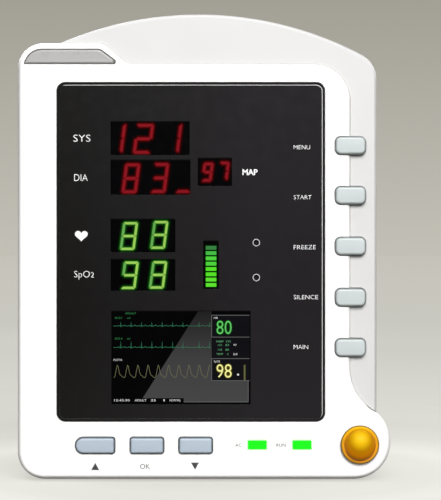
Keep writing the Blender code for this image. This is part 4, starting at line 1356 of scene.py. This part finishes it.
def make_back():
    low, high = TRAY_LOW, TRAY_HIGH
    floor = low.y + 2.0
    outline = outline_between(low, high, 3.7)
    tray = loft("rear_tray", outline, round_rim(high.y, low.y, 0.5, 0.3, 4))
    cutters = [loft("recess", grown(outline, -2.2), flared(high.y, floor, 0.8))]
    holes = {name: grown(node_outline(name, 0.2), GAP) for name in ("mains_inlet", "network_port")}
    for name, width, height in (("fuse_drawer", 24, 6), ("power_switch", 13.5, 20)):
        holes[name] = centred(*screw_place(name), width + 2 * GAP, height + 2 * GAP, 0.3)
    cutters += [straight(name, hole, floor - 5, floor + 2) for name, hole in holes.items()]
    cut(tray, *cutters)
    add_smooth(tray, TRAY, stands_for=["rear_panel"])
    make_inlet(floor)
    make_drawer(floor)
    make_rocker(floor)
    make_port(floor)
    make_stud()
    make_plate()


def faced(name, node, radius, front_radius, back_radius, steps):
    """A body of a node's rounded outline, with round edges at the back of the monitor."""
    low, high = node_box(node)
    rim = round_rim(high.y, low.y, front_radius, back_radius, steps)
    return loft(name, node_outline(node, radius), rim)


def make_inlet(floor):
    low, high, middle = middle_of("mains_inlet")
    shell = faced("inlet_shell", "mains_inlet", 2.9, 0.5, 0.3, 4)
    corners = [(-12, -8, 1.2), (12, -8, 1.2), (12, 3.5, 1.0), (7.5, 8, 1.0), (-7.5, 8, 1.0)]
    corners.append((-12, 3.5, 1.0))
    well = rounded([(middle.x + x, middle.z + z, radius) for x, z, radius in corners])
    cut(shell, plates("well", [well], low.y + 3, high.y + 1))
    add_smooth(shell, BLACK, stands_for=["mains_inlet"])
    for i, (x, z) in enumerate(((-7, -2), (0, 2), (7, -2))):
        outline = centred(middle.x + x, middle.z + z, 2, 4, 0.3)
        pin = loft(f"inlet_pin_{i + 1}", outline, round_rim(floor + 1, low.y + 2, 0.4, 0, 4))
        add_smooth(pin, NICKEL)


def make_drawer(floor):
    low, high, middle = middle_of("fuse_drawer")
    outline = centred(middle.x, middle.z, 24, 6, 0.3)
    drawer = loft("drawer_body", outline, round_rim(floor + 0.8, low.y, 0.1, 0.3, 3))
    rim = round_rim(high.y, floor + GAP, 0.4, 0.1, 4)
    unite(drawer, loft("lip", node_outline("fuse_drawer", 1.0), rim))
    notch = centred(middle.x, high.z - 0.45, 7, 2.9, 0.6)
    cut(drawer, straight("notch", notch, high.y + 1, high.y - 1.0))
    add_smooth(drawer, BLACK, "fuse_drawer", ["fuse_drawer"])


ROCKER_TILT = 9.0


def make_rocker(floor):
    """A rocker in its off position, with a bar and a ring on its two facets."""
    low, high, middle = middle_of("power_switch")
    pivot = Vector((middle.x, floor + 1.0, middle.z)) * MM
    half_width = (high.x - low.x) / 2
    half = 9.2
    corners = [(-5.0, 0, 1.5), (-2.5, -half + 1.2, 0.5), (1.6, -half + 0.6, 0.5), (0.4, 0, 6.0)]
    outline = rounded(corners + [(1.6, half - 0.6, 0.5), (-2.5, half - 1.2, 0.5)])
    rocker = loft(
        "rocker_cap",
        lambda grow: [(y * (1 + grow / 9), z * (1 + grow / 9)) for y, z in outline],
        round_rim(-half_width, half_width, 0.4, 0.4, 4),
        "X",
    )
    line = plates("rocker_line", [bar(0, 0, 0.8, 3.2)], -0.02, 0.05)
    ring = straight("rocker_ring", circle(0, 0, 1.7), -0.02, 0.05)
    cut(ring, rod("hole", 0, 0, 1.05, -1, 1))
    turn = Matrix.Rotation(math.radians(ROCKER_TILT), 4, "X")
    facet = math.atan2(1.2, half - 0.6)
    for mark, side in ((line, 1), (ring, -1)):
        lift = Matrix.Translation(Vector((0, 1.02, side * 4.6)) * MM)
        lean = Matrix.Rotation(side * -facet, 4, "X")
        mark.data.transform(Matrix.Translation(pivot) @ turn @ lift @ lean)
        add(mark, PRINT, "power_switch")
    rocker.data.transform(Matrix.Translation(pivot) @ turn)
    add_smooth(rocker, BLACK, "power_switch", ["power_switch"])


def make_port(floor):
    _, high, middle = middle_of("network_port")
    shell = faced("port_shell", "network_port", 0.4, 0.25, 0.2, 3)
    x, z = middle.x, middle.z
    well = [(x - 6, z - 4.25), (x + 6, z - 4.25), (x + 6, z + 2.2), (x + 3, z + 2.2)]
    well += [(x + 3, z + 4.25), (x - 3, z + 4.25), (x - 3, z + 2.2), (x - 6, z + 2.2)]
    cut(shell, plates("well", [well], floor - 10, high.y + 1))
    add_smooth(shell, NICKEL, stands_for=["network_port"])
    contacts = [bar(x - 4.2 + 1.2 * i, z - 3.9, 0.45, 0.5) for i in range(8)]
    add(plates("port_contacts", contacts, floor - 10.2, floor - 2), BRASS)


def make_stud():
    low, high, middle = middle_of("ground_stud")
    radius = 2.6
    profile = [(0, low.y), (5.0, low.y), (5.0, low.y + 0.8), (4.6, low.y + 1.2)]
    profile.append((radius, low.y + 1.2))
    place = low.y + 1.5
    while place < high.y - 0.7:
        profile += [(radius - 0.3, place), (radius, place + 0.25)]
        place += 0.5
    profile += [(radius - 0.5, high.y), (0, high.y)]
    stud = turned("earth_stud", profile, (middle.x, middle.z), "Y")
    add_smooth(stud, BRASS, stands_for=["ground_stud"])


def make_plate():
    low, high, middle = middle_of("mount_plate")
    plate = faced("arm_plate", "mount_plate", 6, 0.35, 0.1, 4)
    sink = [(1.6, high.y + 0.5), (1.6, high.y), (0, high.y - 1.2), (0, low.y - 1)]
    places = [(middle.x + x, middle.z + z) for z in (-30, 30) for x in (-30, 30)]
    cut(plate, *[loft("hole", circle(*place, 2.2, 10), sink) for place in places])
    add_smooth(plate, STEEL, stands_for=["mount_plate"])


def make_battery():
    """The door's leaf with its hinge roll and pull ribs, the pack and the bay's liner."""
    low, high = DOOR_LOW, DOOR_HIGH
    half = (high.x - low.x) / 2
    outline = arc((high.x - half, low.z + half), half, 180, 360, 11.25)
    outline += arc((high.x - 0.5, high.z - 0.5), 0.5, 0, 90, 22.5)
    outline += arc((low.x + 0.3, high.z - 0.3), 0.3, 90, 180, 45)
    door = plates("door_leaf", [outline], low.y, high.y)
    heights = [high.z - 6 - 2.2 * i for i in range(3)]
    ribs = [straight("rib", circle(high.x - 0.15, z, 0.55, 15), 4.0, 32.0) for z in heights]
    unite(door, *ribs)
    add_smooth(door, GREY, "battery_door", ["battery_door"])

    low, high = node_box("battery_pack")
    outline = node_outline("battery_pack", 2.5, "X")
    pack = loft("battery_cells", outline, round_rim(high.x, low.x, 1.2, 1.2, 5), "X")
    add_smooth(pack, WRAP, stands_for=["battery_pack"])
    outline = box_outline(low.y + 16, high.z - 26, high.y - 16, high.z - 4, 3)
    rim = [(-0.1, high.x + 0.45), (0, high.x + 0.35), (0, high.x + 0.05), (-0.1, high.x)]
    add_smooth(loft("pull_tab", outline, rim, "X"), PRINT)
    outer = box_outline(low.y - 1.8, low.z - 1.6, high.y + 1.8, high.z + 1.6, 1.5)
    inner = box_outline(low.y - 1.0, low.z - 0.8, high.y + 1.0, high.z + 0.8, 1.0)
    liner = straight("bay_liner", outer, low.x - 2, high.x + 1.4, "X")
    cut(liner, straight("inside", inner, low.x - 1, high.x + 2, "X"))
    add_smooth(liner, BLACK)


def make_feet():
    for i in range(1, 5):
        low, high, middle = middle_of(f"foot_{i}")
        radius = (high.x - low.x) / 2
        bottom = low.z
        profile = [(0, high.z), (radius - 0.2, high.z), (radius, high.z - 0.2)]
        profile += [(radius, bottom + 1.1), (radius - 0.3, bottom + 0.35), (radius - 1.0, bottom)]
        profile += [(radius - 2.4, bottom), (radius - 2.8, bottom + 0.5), (0, bottom + 0.5)]
        pad = turned(f"foot_{i}_pad", profile, (middle.x, middle.y), "Z", 48)
        add_smooth(pad, RUBBER, stands_for=[f"foot_{i}"])


# Everything inside keeps its CAD solid ----------------------------------------

INSIDE = {
    FOAM: ["window_gasket"],
    BOARD: ["display_board", "alarm_board", "side_key_board", "bottom_key_board", "main_board"],
    SILICONE: ["side_key_mat", "bottom_key_mat"],
    STEEL: ["encoder_body", "encoder_shaft", "chassis_plate", "power_supply", "air_pump"],
    BLACK: ["encoder_plunger", "speaker"],
    BRASS: ["release_valve"],
    RUBBER: ["pressure_tube"],
    NICKEL: SCREWS,
}


def paint_inside():
    for material, names in INSIDE.items():
        for name in names:
            paint(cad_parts[name], material)


# Stage ------------------------------------------------------------------------


def make_floor():
    """A broad pale floor. To the camera it fades towards the horizon by its own light, under a
    little of the real shading; to the object it is a dull diffuse ground, painted darker away from
    the object. Its tones go by nearness to the object, 1 / (1 + metres away), and paint a pool of
    light round the object and a shadow under it."""
    floor = loft("floor", circle(0, 0, 40000, 5), [(0, -20.0), (0, 0.0)], "Z")
    material = new_material("studio_floor")
    tree, shader = parts_of(material)
    further = arithmetic(tree, "ADD", length_of(tree, object_space(tree)), 1.0)
    near = arithmetic(tree, "DIVIDE", 1.0, further)
    # Painted light and shade: the brightest stop, at 0.866, paints a pool of light round the
    # object, and the darker stops from 0.937 paint a shadow under it.
    stops = [
        (0.0, (193, 191, 182)),
        (0.13, (201, 199, 190)),
        (0.22, (205, 203, 194)),
        (0.4, (213, 212, 204)),
        (0.58, (213, 212, 204)),
        (0.767, (212, 211, 203)),
        (0.82, (222, 221, 213)),
        (0.866, (246, 245, 237)),
        (0.886, (238, 237, 229)),
        (0.91, (240, 239, 231)),
        (0.937, (232, 231, 223)),
        (0.98, (226, 225, 217)),
    ]
    recolour(material, near, stops, "Emission Color")
    camera = from_node(tree, "LightPath", "Is Camera Ray", {})
    share = ranged(tree, near, 0.0, 1.0, 1.0, 0.64)
    # Painted shade with a little random mottle: the ground's own colour is darker away from the
    # object, which hides the lamps' light on the far floor.
    mottle_and_shade = arithmetic(tree, "MULTIPLY_ADD", noise(tree, 30, 3.0), 0.04, near)
    dull = ramp(tree, mottle_and_shade, [(0.46, (0.05, 0.05, 0.048, 1)), (0.76, (0.2, 0.2, 0.19, 1))])
    inputs = {"Base Color": dull, "Roughness": 0.9, "Specular IOR Level": 0.0}
    feed(shader, {**inputs, "Emission Strength": arithmetic(tree, "MULTIPLY", camera, share)})
    paint(floor, material)


HORIZON = (194, 192, 182)


def make_world():
    """Soft studio light, and a plain backdrop that is darker above than at the horizon."""
    world = bpy.data.worlds.new("studio")
    world.use_nodes = True
    bpy.context.scene.world = world
    tree = world.node_tree
    light = tree.nodes["Background"]
    feed(light, {"Color": (1, 1, 1, 1), "Strength": 0.25})
    direction = from_node(tree, "TexCoord", "Generated", {})
    height = from_node(tree, "SeparateXYZ", "Z", {"Vector": direction})
    stops = [(0.0, srgb(*HORIZON)), (1.0, srgb(163, 160, 150))]
    backdrop = ramp(tree, ranged(tree, height, 0.0, 0.13), stops)
    seen = from_node(tree, "Background", "Background", {"Color": backdrop})
    camera = from_node(tree, "LightPath", "Is Camera Ray", {})
    inputs = {"Fac": camera, 1: light.outputs["Background"], 2: seen}
    feed(tree.nodes["World Output"], {"Surface": from_node(tree, "MixShader", "Shader", inputs)})


def area_light(name, place, target, size, power):
    light = bpy.data.lights.new(name, "AREA")
    light.shape = "RECTANGLE"
    light.size, light.size_y = size
    light.energy = power
    obj = new_object(name, light)
    obj.location = place
    direction = Vector(target) - Vector(place)
    obj.rotation_euler = direction.to_track_quat("-Z", "Y").to_euler()


def make_lights_and_camera():
    middle = (0, 0, 0.12)
    area_light("key", (0.3, -2.1, 1.3), middle, (1.5, 1.1), 70)
    area_light("top", (0.1, -0.1, 1.5), middle, (1.4, 1.0), 6)
    area_light("side", (1.0, 1.0, 0.7), middle, (0.7, 0.7), 5)
    area_light("rear", (-0.6, 1.5, 0.9), middle, (0.9, 0.9), 11)
    camera = bpy.data.cameras.new("camera")
    camera.lens = 135
    camera.sensor_width = 36
    camera.clip_end = 100
    obj = new_object("camera", camera)
    height = 0.265  # what the picture spans at the front face
    distance = height * camera.lens / camera.sensor_width
    obj.location = (0.0087, FRONT * MM - distance, 0.1227)
    obj.rotation_euler = (math.pi / 2, 0, 0)
    bpy.context.scene.camera = obj
    bpy.context.scene.view_settings.view_transform = "Standard"


make_bezel()
make_housing()
make_window()
make_displays()
make_screen()
make_labels()
make_lens()
make_lights()
make_keys()
make_knob()
make_sensor_side()
make_back()
make_battery()
make_feet()
paint_inside()
make_floor()
make_world()
make_lights_and_camera()
